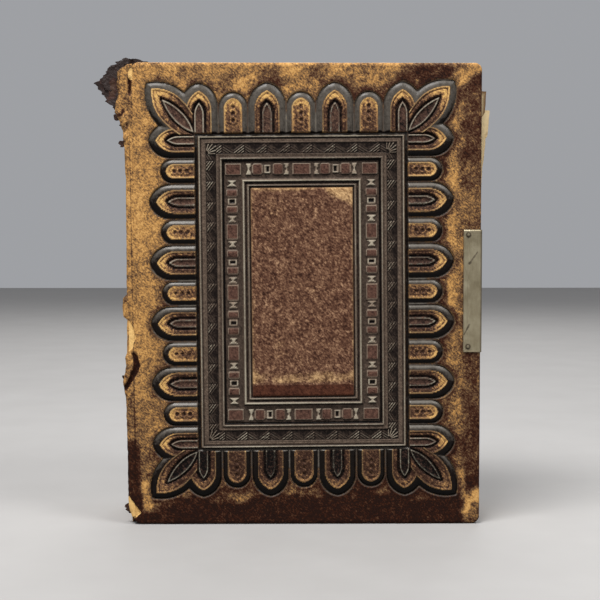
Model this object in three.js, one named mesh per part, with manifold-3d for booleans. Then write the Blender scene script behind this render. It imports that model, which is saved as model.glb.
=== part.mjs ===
// A leather-bound family Bible, standing on its tail: two embossed covers hinged on a rounded
// spine, a sewn text block, endpapers and first leaves that turn with the covers, and a metal
// clasp whose strap is folded back against the back cover.
// Millimetres. +Z up, the front cover faces -Y, the spine is at -X and the fore edge at +X.
import * as THREE from "three";
import { mergeVertices } from "three/addons/utils/BufferGeometryUtils.js";
import Module from "manifold-3d";

const wasm = await Module();
wasm.setup();

// ---- Driving dimensions ----
const BOOK_HEIGHT = 318;
const COVER_WIDTH = 240; // hinge edge to fore edge, over the leather
const HALF_THICKNESS = 43; // middle of the text block to the plain leather of a cover
const HINGE_X = -118.5; // hinge edge of both covers
const GAP = 0.3; // clearance between pieces that lie on each other
const FRONT = -1;
const BACK = 1;

const LEATHER = 2; // cover leather on the face
const EDGE_LEATHER = 1.2; // cover leather round the board's edges
const TURN_IN = 12; // width of leather turned in over the board's inner face
const TURN_IN_THICKNESS = 0.8;
const BOARD_THICKNESS = 5;
const PASTEDOWN_THICKNESS = 0.4;
const CORNER_RADIUS = 5; // of the covers, at the fore edge
const COVER_DEPTH = LEATHER + BOARD_THICKNESS + TURN_IN_THICKNESS + 2 * GAP;

const EMBOSS = 1; // how far the highest ornament stands over the plain leather
const DESIGN_X = -2 + HINGE_X + COVER_WIDTH / 2; // centre of the embossed design
const DESIGN_Z = BOOK_HEIGHT / 2 + 2.6;
const FRAME_HALF = [71.7, 106.8]; // outer frame, half width and half height
const SIDE_PERIOD = 41.8; // spacing of the pointed petals along the long sides
const END_PERIOD = 46.4; // and along the short sides

const SQUARE = 3.5; // how far the covers overhang the text block
const PAGE_WIDTH = 233;
const GATHERINGS = 12;
const BLOCK_FRONT = -28.1; // front and back face of the sewn gatherings
const BLOCK_BACK = 31.4;
const BLOCK_SAGITTA = 3; // rounding of the text block's back, flattened by age
const BLOCK_BACK_X = HINGE_X + 0.6; // furthest point of the text block's back
const LEAF_THICKNESS = 0.35;
const LEAF_STEP = 0.8; // spacing of the turning leaves' hinges, in X and in Y
const FRONT_LEAVES = 5;
const BACK_LEAVES = 3;
const LOOSE_SIZE = [222, 285]; // the slipped gathering's width and height
const LOOSE_THICKNESS = 1.8;
const LOOSE_TILT = THREE.MathUtils.degToRad(4.6);
const LOOSE_CORNER = [128.5, 291]; // its upper fore-edge corner

const SPINE_SAGITTA = 4;
const SPINE_LEATHER = 1.5;
const BAND_Z = [45, 98, 151, 204, 257]; // the five raised bands and the cords under them
const BAND_HEIGHT = 7;
const BAND_RISE = 1.2;
const TEAR_Z = 264; // the spine leather is torn away above this height

const PLATE_Z = 161.7; // middle of the clasp
const PLATE_HEIGHT = 84;
const PLATE_REACH = 11.4; // over the cover's face
const PLATE_THICKNESS = 1;
const NAIL_INSET = 3.6;
const NAIL_RADIUS = 0.8;
const STRAP_HEIGHT = 56;
const PIN_RADIUS = 0.9;
const KNUCKLE_RADIUS = 2;

// ---- Derived places ----
const FORE_X = HINGE_X + COVER_WIDTH;
const PIN = [FORE_X + 4, HALF_THICKNESS + 2.2];
const BLOCK_BOTTOM = SQUARE;
const BLOCK_TOP = BOOK_HEIGHT - SQUARE;
const BLOCK_MID = (BLOCK_FRONT + BLOCK_BACK) / 2;
const BLOCK_HALF = (BLOCK_BACK - BLOCK_FRONT) / 2;
const BLOCK_RADIUS = (BLOCK_HALF ** 2 + BLOCK_SAGITTA ** 2) / (2 * BLOCK_SAGITTA);
const BLOCK_CENTRE = [BLOCK_BACK_X + BLOCK_RADIUS, BLOCK_MID];
const SPINE_RADIUS = (HALF_THICKNESS ** 2 + SPINE_SAGITTA ** 2) / (2 * SPINE_SAGITTA);
const SPINE_CENTRE = [HINGE_X - SPINE_SAGITTA - GAP + SPINE_RADIUS, 0];
const LEAF_HINGE = [HINGE_X + 8.9, HALF_THICKNESS - 9];

const y_at = (side, depth) => side * (HALF_THICKNESS - depth);

// ---- Materials ----
const material = (color, roughness, metalness = 0) =>
  new THREE.MeshStandardMaterial({ color, roughness, metalness });
const embossed_leather = () => material(0x4a2f22, 0.5);
const spine_hide = () => material(0x5a3b26, 0.7);
const millboard = () => material(0x9a8a6c, 0.9);
const endpaper = () => material(0xd9cba6, 0.9);
const page_paper = () => material(0xd8c49a, 0.9);
const cloth = () => material(0xcbbf9f, 0.95);
const cord_hemp = () => material(0xb59a6a, 0.95);
const silk = () => material(0x8c5a3a, 0.6);
const nickel = () => material(0x8a8468, 0.4, 0.9);

// ---- Geometry helpers ----
function solid(geometry) {
  const bare = geometry.clone();
  bare.deleteAttribute("normal");
  bare.deleteAttribute("uv");
  const merged = mergeVertices(bare, 1e-4);
  return new wasm.Manifold(
    new wasm.Mesh({
      numProp: 3,
      vertProperties: Float32Array.from(merged.attributes.position.array),
      triVerts: Uint32Array.from(merged.index.array),
    }),
  );
}

function geometry_of(manifold) {
  const mesh = manifold.getMesh();
  const geometry = new THREE.BufferGeometry();
  geometry.setAttribute("position", new THREE.BufferAttribute(mesh.vertProperties, 3));
  geometry.setIndex(new THREE.BufferAttribute(mesh.triVerts, 1));
  geometry.computeVertexNormals();
  return geometry;
}

function block(x0, x1, y0, y1, z0, z1) {
  const size = [x1 - x0, Math.abs(y1 - y0), z1 - z0];
  return new THREE.BoxGeometry(...size).translate((x0 + x1) / 2, (y0 + y1) / 2, (z0 + z1) / 2);
}

// A plan-view outline raised from z0 to z1.
function column(points, z0, z1) {
  const shape = new THREE.Shape(points.map(([x, y]) => new THREE.Vector2(x, y)));
  const settings = { depth: z1 - z0, bevelEnabled: false };
  return new THREE.ExtrudeGeometry(shape, settings).translate(0, 0, z0);
}

// An outline in the plane of the covers, thickened between two depths under a cover's face.
function plate(shape, side, depth0, depth1, curveSegments = 3) {
  const settings = { depth: Math.abs(depth1 - depth0), bevelEnabled: false, curveSegments };
  const highest = Math.max(y_at(side, depth0), y_at(side, depth1));
  return new THREE.ExtrudeGeometry(shape, settings).rotateX(Math.PI / 2).translate(0, highest, 0);
}

function rectangle(x0, x1, z0, z1) {
  const corners = [[x0, z0], [x1, z0], [x1, z1], [x0, z1]];
  return new THREE.Shape(corners.map(([x, z]) => new THREE.Vector2(x, z)));
}

// A cover's outline: square at the hinge, rounded at the fore edge, drawn in by an inset.
function cover_outline(inset) {
  const [x0, x1] = [HINGE_X + inset, FORE_X - inset];
  const [z0, z1] = [inset, BOOK_HEIGHT - inset];
  const radius = Math.max(CORNER_RADIUS - inset, 1);
  const shape = new THREE.Shape();
  shape.moveTo(x0, z0);
  shape.lineTo(x1 - radius, z0);
  shape.absarc(x1 - radius, z0 + radius, radius, -Math.PI / 2, 0);
  shape.absarc(x1 - radius, z1 - radius, radius, 0, Math.PI / 2);
  shape.lineTo(x0, z1);
  return shape;
}

// A curved wall that follows the spine: arcs about a centre, on the -X side of it, with its
// inner and outer radius given at each height.
function spine_wall(centre, half_angle, stations, steps = 10) {
  const ring = stations.map(({ z, inner, outer }) => {
    const points = [];
    for (let i = 0; i <= steps; i += 1) points.push([outer, -half_angle + (2 * half_angle * i) / steps]);
    for (let i = steps; i >= 0; i -= 1) points.push([inner, -half_angle + (2 * half_angle * i) / steps]);
    return points.map(([r, a]) => [centre[0] - r * Math.cos(a), centre[1] + r * Math.sin(a), z]);
  });
  const count = ring[0].length;
  const triangles = [];
  for (let k = 0; k + 1 < ring.length; k += 1) {
    for (let i = 0; i < count; i += 1) {
      const [a, b] = [k * count + i, k * count + ((i + 1) % count)];
      triangles.push(a, a + count, b, b, a + count, b + count);
    }
  }
  for (let i = 0; i < steps; i += 1) {
    const [a, b, c, d] = [i, i + 1, count - 2 - i, count - 1 - i];
    triangles.push(a, b, c, a, c, d);
    const top = (ring.length - 1) * count;
    triangles.push(top + a, top + c, top + b, top + a, top + d, top + c);
  }
  const geometry = new THREE.BufferGeometry();
  geometry.setAttribute("position", new THREE.Float32BufferAttribute(ring.flat(2), 3));
  geometry.setIndex(triangles);
  geometry.computeVertexNormals();
  return geometry;
}

const model = new THREE.Group();

function add(name, geometry, finish) {
  const mesh = new THREE.Mesh(geometry, finish);
  mesh.name = name;
  model.add(mesh);
}

// ---- Embossed design ----
function petal(width, length, pointed) {
  const half = width / 2;
  const shoulder = pointed ? length * 0.52 : length - half;
  const shape = new THREE.Shape();
  shape.moveTo(-half, 0);
  shape.lineTo(half, 0);
  shape.lineTo(half, shoulder);
  if (pointed) {
    shape.quadraticCurveTo(half, length - half * 0.75, 0, length);
    shape.quadraticCurveTo(-half, length - half * 0.75, -half, shoulder);
  } else {
    shape.absarc(0, shoulder, half, 0, Math.PI);
  }
  return shape;
}

function corner_leaf(width, length) {
  const shape = new THREE.Shape();
  shape.moveTo(0, 0);
  shape.quadraticCurveTo(width * 0.95, length * 0.45, 0, length);
  shape.quadraticCurveTo(-width * 0.95, length * 0.45, 0, 0);
  return shape;
}

// Turns an outline drawn upwards from the origin to stand on a point of the frame.
function placed(shape, angle, x, z, segments) {
  const turned = shape.getPoints(segments).map((p) => {
    const q = p.clone().rotateAround(new THREE.Vector2(), angle);
    return q.add(new THREE.Vector2(DESIGN_X + x, DESIGN_Z + z));
  });
  return new THREE.Shape(turned);
}

function ornament_outlines() {
  const [frame_x, frame_z] = FRAME_HALF;
  const outlines = [];
  for (const sign of [-1, 1]) {
    const side_turn = sign * (-Math.PI / 2);
    const end_turn = sign > 0 ? 0 : Math.PI;
    for (let k = -2.5; k <= 2.5; k += 1) {
      outlines.push(placed(petal(22.4, 33.3, true), side_turn, sign * frame_x, k * SIDE_PERIOD, 3));
    }
    for (let k = -2; k <= 2; k += 1) {
      outlines.push(placed(petal(17.4, 25.3, false), side_turn, sign * frame_x, k * SIDE_PERIOD, 3));
    }
    for (let k = -1.5; k <= 1.5; k += 1) {
      outlines.push(placed(petal(24.8, 34.7, true), end_turn, k * END_PERIOD, sign * frame_z, 3));
    }
    for (let k = -1; k <= 1; k += 1) {
      outlines.push(placed(petal(19.8, 28.6, false), end_turn, k * END_PERIOD, sign * frame_z, 3));
    }
    for (const across of [-1, 1]) {
      const turn = Math.atan2(-across, sign);
      outlines.push(placed(corner_leaf(28, 49), turn, across * frame_x, sign * frame_z, 4));
    }
  }
  return outlines;
}

function frame_ring(outer, inner) {
  const ring = rectangle(DESIGN_X - outer[0], DESIGN_X + outer[0], DESIGN_Z - outer[1], DESIGN_Z + outer[1]);
  ring.holes.push(rectangle(DESIGN_X - inner[0], DESIGN_X + inner[0], DESIGN_Z - inner[1], DESIGN_Z + inner[1]));
  return ring;
}

function embossing(side) {
  const root_depth = 0.5;
  const pads = ornament_outlines().map((shape) => plate(shape, side, -EMBOSS, root_depth));
  pads.push(plate(frame_ring(FRAME_HALF, [66, 102]), side, -EMBOSS, root_depth));
  pads.push(plate(frame_ring([67, 103], [53, 88.5]), side, -0.5 * EMBOSS, root_depth));
  pads.push(plate(frame_ring([42, 78], [37, 73]), side, -EMBOSS, root_depth));
  const [panel_x, panel_z] = [35.2, 71.8];
  const panel = rectangle(DESIGN_X - panel_x, DESIGN_X + panel_x, DESIGN_Z - panel_z, DESIGN_Z + panel_z);
  pads.push(plate(panel, side, -0.7 * EMBOSS, root_depth));
  return pads.map(solid);
}

// ---- Covers ----
const nail_places = [-1, 1].map((end) => [
  FORE_X - PLATE_REACH + NAIL_INSET,
  PLATE_Z + end * (PLATE_HEIGHT / 2 - 4),
]);

function nail_hole(side, x, z, radius) {
  const drill = new THREE.CylinderGeometry(radius, radius, 14, 12);
  return solid(drill.translate(x, y_at(side, 2), z));
}

function drilled(manifold, side, radius) {
  return nail_places.reduce((body, [x, z]) => body.subtract(nail_hole(side, x, z, radius)), manifold);
}

function add_cover(name, side) {
  const shell = solid(plate(cover_outline(0), side, 0, COVER_DEPTH, 4));
  const pocket_end = COVER_DEPTH - TURN_IN_THICKNESS;
  const pocket = solid(plate(cover_outline(EDGE_LEATHER), side, LEATHER, pocket_end, 4));
  const window = solid(plate(cover_outline(TURN_IN), side, pocket_end - 1, COVER_DEPTH + 1, 4));
  const hide = wasm.Manifold.union([shell.subtract(pocket).subtract(window), ...embossing(side)]);
  add(`${name}_cover_leather`, geometry_of(drilled(hide, side, NAIL_RADIUS + GAP)), embossed_leather());

  const board_depth = LEATHER + GAP;
  const board = plate(cover_outline(EDGE_LEATHER + GAP), side, board_depth, board_depth + BOARD_THICKNESS, 4);
  add(`${name}_board`, geometry_of(drilled(solid(board), side, NAIL_RADIUS + GAP)), millboard());

  const paper_depth = pocket_end;
  const paper = plate(cover_outline(TURN_IN + GAP), side, paper_depth, paper_depth + PASTEDOWN_THICKNESS, 2);
  add(`${name}_pastedown`, paper, endpaper());
}

// ---- Clasp ----
const plate_bottom = PLATE_Z - PLATE_HEIGHT / 2;
const plate_top = PLATE_Z + PLATE_HEIGHT / 2;

// A metal angle over the cover's fore edge: a leaf on the face and a flange down the edge.
function clasp_angle(side) {
  const [face0, face1] = [y_at(side, -GAP), y_at(side, -GAP - PLATE_THICKNESS)];
  const flange_end = y_at(side, 6.5);
  const [x0, x1, x2] = [FORE_X - PLATE_REACH, FORE_X + GAP, FORE_X + GAP + PLATE_THICKNESS];
  const outline = [[x0, face0], [x0, face1], [x2, face1], [x2, flange_end], [x1, flange_end], [x1, face0]];
  return solid(column(outline, plate_bottom, plate_top));
}

function upright(radius, x, y, z0, z1, sides = 16) {
  const rod = new THREE.CylinderGeometry(radius, radius, z1 - z0, sides).rotateX(Math.PI / 2);
  return rod.translate(x, y, (z0 + z1) / 2);
}

function add_nails(name, side) {
  const head = NAIL_RADIUS * 2;
  const profile = [[0, -3.4], [NAIL_RADIUS, -2.6], [NAIL_RADIUS, 1.5], [head, 1.5], [head * 0.7, 1.95], [0, 2.1]];
  nail_places.forEach(([x, z], i) => {
    const nail = new THREE.LatheGeometry(profile.map(([r, y]) => new THREE.Vector2(r, y)), 12);
    if (side < 0) nail.rotateX(Math.PI);
    nail.translate(x, y_at(side, -GAP / 2), z);
    const closed = geometry_of(solid(nail));
    add(`${name}_clasp_nail_${i + 1}`, closed, nickel());
  });
}

function add_front_plate() {
  const bead = solid(upright(1.2, FORE_X + 0.9, y_at(FRONT, -0.9), plate_bottom, plate_top, 12));
  const whole = clasp_angle(FRONT).add(bead);
  add("front_clasp_plate", geometry_of(drilled(whole, FRONT, NAIL_RADIUS + GAP)), nickel());
}

const strap_bottom = PLATE_Z - STRAP_HEIGHT / 2;
const strap_top = PLATE_Z + STRAP_HEIGHT / 2;
const KNUCKLE_LENGTH = 14; // of each of the back plate's two knuckles

function add_back_plate() {
  let whole = clasp_angle(BACK);
  const [face0, face1] = [y_at(BACK, -GAP), y_at(BACK, -GAP - PLATE_THICKNESS)];
  for (const [z0, z1] of [[strap_bottom, strap_bottom + KNUCKLE_LENGTH], [strap_top - KNUCKLE_LENGTH, strap_top]]) {
    whole = whole.add(solid(block(FORE_X, PIN[0] - 0.5, face0, face1, z0, z1)));
    whole = whole.add(solid(upright(KNUCKLE_RADIUS, ...PIN, z0, z1)));
    whole = whole.subtract(solid(upright(PIN_RADIUS + GAP, ...PIN, z0 - 1, z1 + 1, 12)));
  }
  add("back_clasp_plate", geometry_of(drilled(whole, BACK, NAIL_RADIUS + GAP)), nickel());
}

function add_hinge_pin() {
  add("clasp_hinge_pin", upright(PIN_RADIUS, ...PIN, strap_bottom - 1, strap_top + 1, 12), nickel());
}

// The strap lies folded back along the back cover, with its hook turned outwards. Closed, it
// runs down the fore edge and the hook reaches round the front plate's bead.
function add_strap() {
  const reach = 92.7;
  const bar = [0.1, 1.5];
  const hook = { wall: 1.2, height: 6, lip: 0.6, lip_height: 0.8 };
  const [px, py] = PIN;
  const end = px - reach;
  const outline = [
    [px - KNUCKLE_RADIUS - 0.6, py + bar[0]],
    [px - KNUCKLE_RADIUS - 0.6, py + bar[1]],
    [end + hook.wall, py + bar[1]],
    [end + hook.wall, py + hook.height - hook.lip_height],
    [end + hook.wall + hook.lip, py + hook.height - hook.lip_height],
    [end + hook.wall + hook.lip, py + hook.height],
    [end, py + hook.height],
    [end, py + bar[0]],
  ];
  const [z0, z1] = [strap_bottom + KNUCKLE_LENGTH + GAP, strap_top - KNUCKLE_LENGTH - GAP];
  const tongue = solid(block(px - KNUCKLE_RADIUS - 1.5, px, py + bar[0], py + bar[1], z0, z1));
  const knuckle = solid(upright(KNUCKLE_RADIUS, px, py, z0, z1));
  const bore = solid(upright(PIN_RADIUS + GAP, px, py, z0 - 1, z1 + 1, 12));
  const strap = solid(column(outline, strap_bottom, strap_top)).add(tongue).add(knuckle).subtract(bore);
  add("clasp_strap", geometry_of(strap), nickel());
}

// ---- Text block ----
const back_x = (y) => BLOCK_CENTRE[0] - Math.sqrt(BLOCK_RADIUS ** 2 - (y - BLOCK_MID) ** 2);

function add_gatherings() {
  const pitch = (BLOCK_BACK - BLOCK_FRONT + GAP) / GATHERINGS;
  for (let i = 0; i < GATHERINGS; i += 1) {
    const y0 = BLOCK_FRONT + i * pitch;
    const y1 = y0 + pitch - GAP;
    const middle = (y0 + y1) / 2;
    const edge = [y0, middle, y1].map((y) => [back_x(y), y]);
    const fore = [y1, middle, y0].map((y) => [back_x(y) + PAGE_WIDTH, y]);
    const number = String(i + 1).padStart(2, "0");
    add(`gathering_${number}`, column([...edge, ...fore], BLOCK_BOTTOM, BLOCK_TOP), page_paper());
  }
}

function add_loose_gathering() {
  const [width, height] = LOOSE_SIZE;
  const corners = [[0, 0], [-width, 0], [-width, -height], [0, -height]];
  const outline = corners.map(([u, v]) => {
    const turned = new THREE.Vector2(u, v).rotateAround(new THREE.Vector2(), -LOOSE_TILT);
    return turned.add(new THREE.Vector2(...LOOSE_CORNER));
  });
  const depth = HALF_THICKNESS + BLOCK_FRONT - GAP;
  const sheets = plate(new THREE.Shape(outline), FRONT, depth - LOOSE_THICKNESS, depth);
  add("loose_gathering", sheets, page_paper());
}

function add_leaves(name, side, count) {
  for (let i = 0; i < count; i += 1) {
    const x = LEAF_HINGE[0] + i * LEAF_STEP;
    const y = side * (LEAF_HINGE[1] - i * LEAF_STEP);
    const half = LEAF_THICKNESS / 2;
    const leaf = block(x, FORE_X - SQUARE - 1, y - half, y + half, BLOCK_BOTTOM, BLOCK_TOP);
    add(i === 0 ? `${name}_flyleaf` : `${name}_leaf_${i}`, leaf, i === 0 ? endpaper() : page_paper());
  }
  const fold_end = LEAF_HINGE[0] - LEAF_THICKNESS / 2 - GAP;
  const [y0, y1] = [0, -LEAF_THICKNESS].map((d) => side * (LEAF_HINGE[1] + d));
  add(`${name}_endpaper_fold`, block(HINGE_X + 1, fold_end, y0, y1, BLOCK_BOTTOM, BLOCK_TOP), endpaper());
}

// ---- Spine ----
const cord_thickness = 1;
const mull_thickness = 0.5;
const hollow_thickness = 0.6;
const block_angle = Math.asin((BLOCK_HALF - 0.5) / BLOCK_RADIUS);

function lining(name, height, offset, thickness, z, finish) {
  const [inner, outer] = [BLOCK_RADIUS + offset, BLOCK_RADIUS + offset + thickness];
  const stations = [z - height / 2, z + height / 2].map((level) => ({ z: level, inner, outer }));
  add(name, spine_wall(BLOCK_CENTRE, block_angle, stations), finish);
}

function add_linings() {
  BAND_Z.forEach((z, i) => lining(`sewing_cord_${i + 1}`, 4, GAP, cord_thickness, z, cord_hemp()));
  const mull_offset = 2 * GAP + cord_thickness;
  const middle = (BLOCK_BOTTOM + BLOCK_TOP) / 2;
  lining("spine_mull", BLOCK_TOP - BLOCK_BOTTOM - 12, mull_offset, mull_thickness, middle, cloth());
  const hollow_offset = mull_offset + mull_thickness + GAP;
  const hollow_height = TEAR_Z + 2;
  lining("spine_hollow", hollow_height - 4, hollow_offset, hollow_thickness, hollow_height / 2 + 2, millboard());
  const endband_height = 2.6;
  const offset = endband_height / 2 + GAP;
  lining("head_band", endband_height, -2.4, 2.4, BLOCK_TOP + offset, silk());
  lining("tail_band", endband_height, -2.4, 2.4, BLOCK_BOTTOM - offset, silk());
}

// The leather is held clear of the covers by ending where its inner face meets the hinge line.
const spine_inner = SPINE_RADIUS - SPINE_LEATHER;
const spine_angle = Math.acos((SPINE_CENTRE[0] - (HINGE_X - 0.4)) / spine_inner);

function add_spine_leather() {
  const slope = 2;
  const flat = (z) => ({ z, inner: spine_inner, outer: SPINE_RADIUS });
  const lift = BAND_RISE + GAP;
  const raised = (z) => ({ z, inner: spine_inner + lift, outer: SPINE_RADIUS + lift });
  const stations = [flat(0)];
  for (const z of BAND_Z) {
    const half = BAND_HEIGHT / 2 + GAP;
    stations.push(flat(z - half - slope), raised(z - half), raised(z + half));
    if (z + half + slope < TEAR_Z) stations.push(flat(z + half + slope));
  }
  stations.push(flat(TEAR_Z));
  add("spine_leather", spine_wall(SPINE_CENTRE, spine_angle, stations, 12), spine_hide());
}

function add_raised_bands() {
  BAND_Z.forEach((z, i) => {
    const size = { inner: spine_inner, outer: spine_inner + BAND_RISE };
    const stations = [-1, 1].map((end) => ({ z: z + (end * BAND_HEIGHT) / 2, ...size }));
    add(`raised_band_${i + 1}`, spine_wall(SPINE_CENTRE, spine_angle * 0.9, stations), millboard());
  });
}

// The head of the spine leather, torn down the back joint and splayed out from the front one.
function add_torn_flap() {
  const outline = [[-0.6, 0], [-9, -1], [-23.5, -14], [-8.8, -30], [-8.2, -53.4], [-0.6, -53.4]];
  const shape = new THREE.Shape(outline.map(([x, z]) => new THREE.Vector2(HINGE_X + x, BOOK_HEIGHT + z)));
  add("torn_head_flap", plate(shape, FRONT, 1.5, 1.5 + SPINE_LEATHER), spine_hide());
}

// ---- Assembly ----
add_cover("front", FRONT);
add_cover("back", BACK);
add_front_plate();
add_back_plate();
add_nails("front", FRONT);
add_nails("back", BACK);
add_hinge_pin();
add_strap();
add_gatherings();
add_loose_gathering();
add_leaves("front", FRONT, FRONT_LEAVES);
add_leaves("back", BACK, BACK_LEAVES);
add_linings();
add_spine_leather();
add_raised_bands();
add_torn_flap();

// The origin is the middle of the bottom of the whole model's box.
const box = new THREE.Box3().setFromObject(model);
model.position.set(-(box.min.x + box.max.x) / 2, -(box.min.y + box.max.y) / 2, -box.min.z);

export default model;
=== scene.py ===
"""Looks of a leather-bound family Bible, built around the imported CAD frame.

Lengths in this script are millimetres in the frame's own axes: +Z up the book, -Y out of the
front cover, -X towards the spine. put() turns them into metres.
"""

import math

import bpy
import numpy as np
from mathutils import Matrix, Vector


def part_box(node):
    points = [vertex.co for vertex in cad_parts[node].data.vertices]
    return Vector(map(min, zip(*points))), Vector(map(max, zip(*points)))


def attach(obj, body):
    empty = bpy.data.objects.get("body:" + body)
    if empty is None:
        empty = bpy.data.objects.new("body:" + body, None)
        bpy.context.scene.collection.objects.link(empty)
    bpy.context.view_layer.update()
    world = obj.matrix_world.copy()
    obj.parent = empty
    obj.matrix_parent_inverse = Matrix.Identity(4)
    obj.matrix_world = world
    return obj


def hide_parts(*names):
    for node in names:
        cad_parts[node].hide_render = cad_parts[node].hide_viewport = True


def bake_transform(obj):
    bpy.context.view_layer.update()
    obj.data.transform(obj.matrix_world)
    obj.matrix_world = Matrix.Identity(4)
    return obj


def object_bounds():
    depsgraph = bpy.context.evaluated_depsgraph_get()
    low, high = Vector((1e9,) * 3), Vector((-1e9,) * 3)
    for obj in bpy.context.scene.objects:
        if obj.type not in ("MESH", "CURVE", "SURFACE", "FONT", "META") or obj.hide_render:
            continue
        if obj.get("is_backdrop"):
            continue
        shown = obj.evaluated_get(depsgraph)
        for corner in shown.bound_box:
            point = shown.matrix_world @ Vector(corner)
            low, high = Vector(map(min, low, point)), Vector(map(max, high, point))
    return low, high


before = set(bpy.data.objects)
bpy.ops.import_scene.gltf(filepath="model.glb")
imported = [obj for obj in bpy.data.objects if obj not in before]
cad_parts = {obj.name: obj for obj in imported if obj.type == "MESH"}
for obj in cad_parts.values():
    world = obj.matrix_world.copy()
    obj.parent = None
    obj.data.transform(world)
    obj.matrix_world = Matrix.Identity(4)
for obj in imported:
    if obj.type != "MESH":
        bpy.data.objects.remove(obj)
cad_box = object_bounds()

MM = 0.001
FRONT = -1
BACK = 1


def box_mm(node):
    low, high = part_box(node)
    return np.array(low) / MM, np.array(high) / MM


# ---- Places, from the frame ----
EMBOSS = 1.0  # the ornament's height over the plain leather in the CAD model
COVER_LOW, COVER_HIGH = box_mm("front_cover_leather")
HINGE_X = COVER_LOW[0]
FORE_X = COVER_HIGH[0]
HEIGHT = COVER_HIGH[2]
PLAIN_Y = {FRONT: COVER_LOW[1] + EMBOSS, BACK: box_mm("back_cover_leather")[1][1] - EMBOSS}
COVER_DEPTH = COVER_HIGH[1] - PLAIN_Y[FRONT]
MIDDLE_Y = (PLAIN_Y[FRONT] + PLAIN_Y[BACK]) / 2
DESIGN_X = (HINGE_X + FORE_X) / 2 - 3.0
DESIGN_Z = HEIGHT / 2 + 2.0
STAMP_TURN = math.radians(0.53)  # the stamp was set a little askew on the cover
BAND_Z = [float(np.mean([box_mm(f"raised_band_{i}")[k][2] for k in (0, 1)])) for i in range(1, 6)]
TORN_Z = box_mm("spine_leather")[1][2]

# ---- Embossed design, about its own centre ----
FRAME_X = 70.95  # the outer frame's half width
FRAME_Z = 107.15  # and half height
TOP_STRETCH = 1.06  # the petals over the frame are a little longer than those under it
SIDE_PERIOD = 41.8  # spacing of the pointed petals along the long sides
END_PERIOD = 46.4  # and along the short sides


# ---- Small mathematics ----
def smooth(x, low, high):
    t = np.clip((x - low) / (high - low), 0, 1)
    return t * t * (3 - 2 * t)


def bump(x, centre, half_width):
    return np.clip(1 - ((x - centre) / half_width) ** 2, 0, 1)


def between(x, low, high, soft):
    return smooth(x, low - soft, low + soft) * (1 - smooth(x, high - soft, high + soft))


def noise(x, y, size, seed, octaves=3):
    """Smooth value noise from -1 to 1 with features of about the given size."""
    total, weight = 0.0, 0.0
    for octave in range(octaves):
        table = np.random.default_rng(seed * 31 + octave).uniform(-1, 1, (256, 256))
        fx = np.asarray(x, float) * 2**octave / size + 17.3 * octave
        fy = np.asarray(y, float) * 2**octave / size + 9.1 * octave
        ix, iy = np.floor(fx).astype(int), np.floor(fy).astype(int)
        tx, ty = fx - ix, fy - iy
        tx, ty = tx * tx * (3 - 2 * tx), ty * ty * (3 - 2 * ty)
        corner = lambda a, b: table[(ix + a) % 256, (iy + b) % 256]
        low = corner(0, 0) * (1 - tx) + corner(1, 0) * tx
        high = corner(0, 1) * (1 - tx) + corner(1, 1) * tx
        total = total + (low * (1 - ty) + high * ty) * 0.5**octave
        weight += 0.5**octave
    return total / weight


def noise_along(x, size, seed, octaves=3):
    """Noise that changes with x alone."""
    return noise(x, 0 * x, size, seed, octaves)


def graded(breaks, steps):
    """Positions from the first break to the last, each interval split at about its own step."""
    places = [breaks[0]]
    for low, high, step in zip(breaks, breaks[1:], steps):
        count = max(1, math.ceil((high - low) / step - 1e-6))
        places.extend(low + (high - low) * (i + 1) / count for i in range(count))
    return np.array(places)


# ---- Mesh making ----
def volume(points, faces):
    total = 0.0
    for quads in faces:
        a = points[quads[:, 0]]
        for k in range(1, quads.shape[1] - 1):
            total += np.sum(a * np.cross(points[quads[:, k]], points[quads[:, k + 1]]))
    return total / 6


def put(name, points, faces, attributes=None, colours=None, smooth_faces=True):
    """A mesh object from points in millimetres and arrays of quads or triangles, faces turned out."""
    mesh = bpy.data.meshes.new(name)
    points = np.asarray(points, float)
    faces = [np.asarray(f, int) for f in (faces if isinstance(faces, list) else [faces])]
    if volume(points - points.mean(0), faces) < 0:
        faces = [f[:, ::-1] for f in faces]
    loops = np.concatenate([f.ravel() for f in faces])
    sizes = np.concatenate([np.full(len(f), f.shape[1]) for f in faces])
    mesh.vertices.add(len(points))
    mesh.vertices.foreach_set("co", (points * MM).astype(np.float32).ravel())
    mesh.loops.add(len(loops))
    mesh.loops.foreach_set("vertex_index", loops.astype(np.int32))
    mesh.polygons.add(len(sizes))
    mesh.polygons.foreach_set("loop_start", (np.cumsum(sizes) - sizes).astype(np.int32))
    mesh.update(calc_edges=True)
    mesh.polygons.foreach_set("use_smooth", np.full(len(sizes), smooth_faces))
    for key, values in (attributes or {}).items():
        layer = mesh.attributes.new(key, "FLOAT", "POINT")
        layer.data.foreach_set("value", np.asarray(values, np.float32).ravel())
    for key, values in (colours or {}).items():
        layer = mesh.attributes.new(key, "FLOAT_COLOR", "POINT")
        layer.data.foreach_set("color", np.asarray(values, np.float32).ravel())
    mesh.validate()
    made = bpy.data.objects.new(name, mesh)
    bpy.context.scene.collection.objects.link(made)
    return made


def grid_faces(rows, columns, close_columns=False, flip=False, first=0):
    """Quads of a rows by columns grid of points stored row by row."""
    across = columns if close_columns else columns - 1
    r, c = np.meshgrid(np.arange(rows - 1), np.arange(across), indexing="ij")
    c2 = (c + 1) % columns
    quads = np.stack([r * columns + c, r * columns + c2, (r + 1) * columns + c2, (r + 1) * columns + c], -1)
    quads = quads.reshape(-1, 4) + first
    return quads[:, ::-1] if flip else quads


def border(rows, columns):
    index = np.arange(rows * columns).reshape(rows, columns)
    return np.concatenate([index[0, :-1], index[:-1, -1], index[-1, :0:-1], index[:0:-1, 0]])


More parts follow.
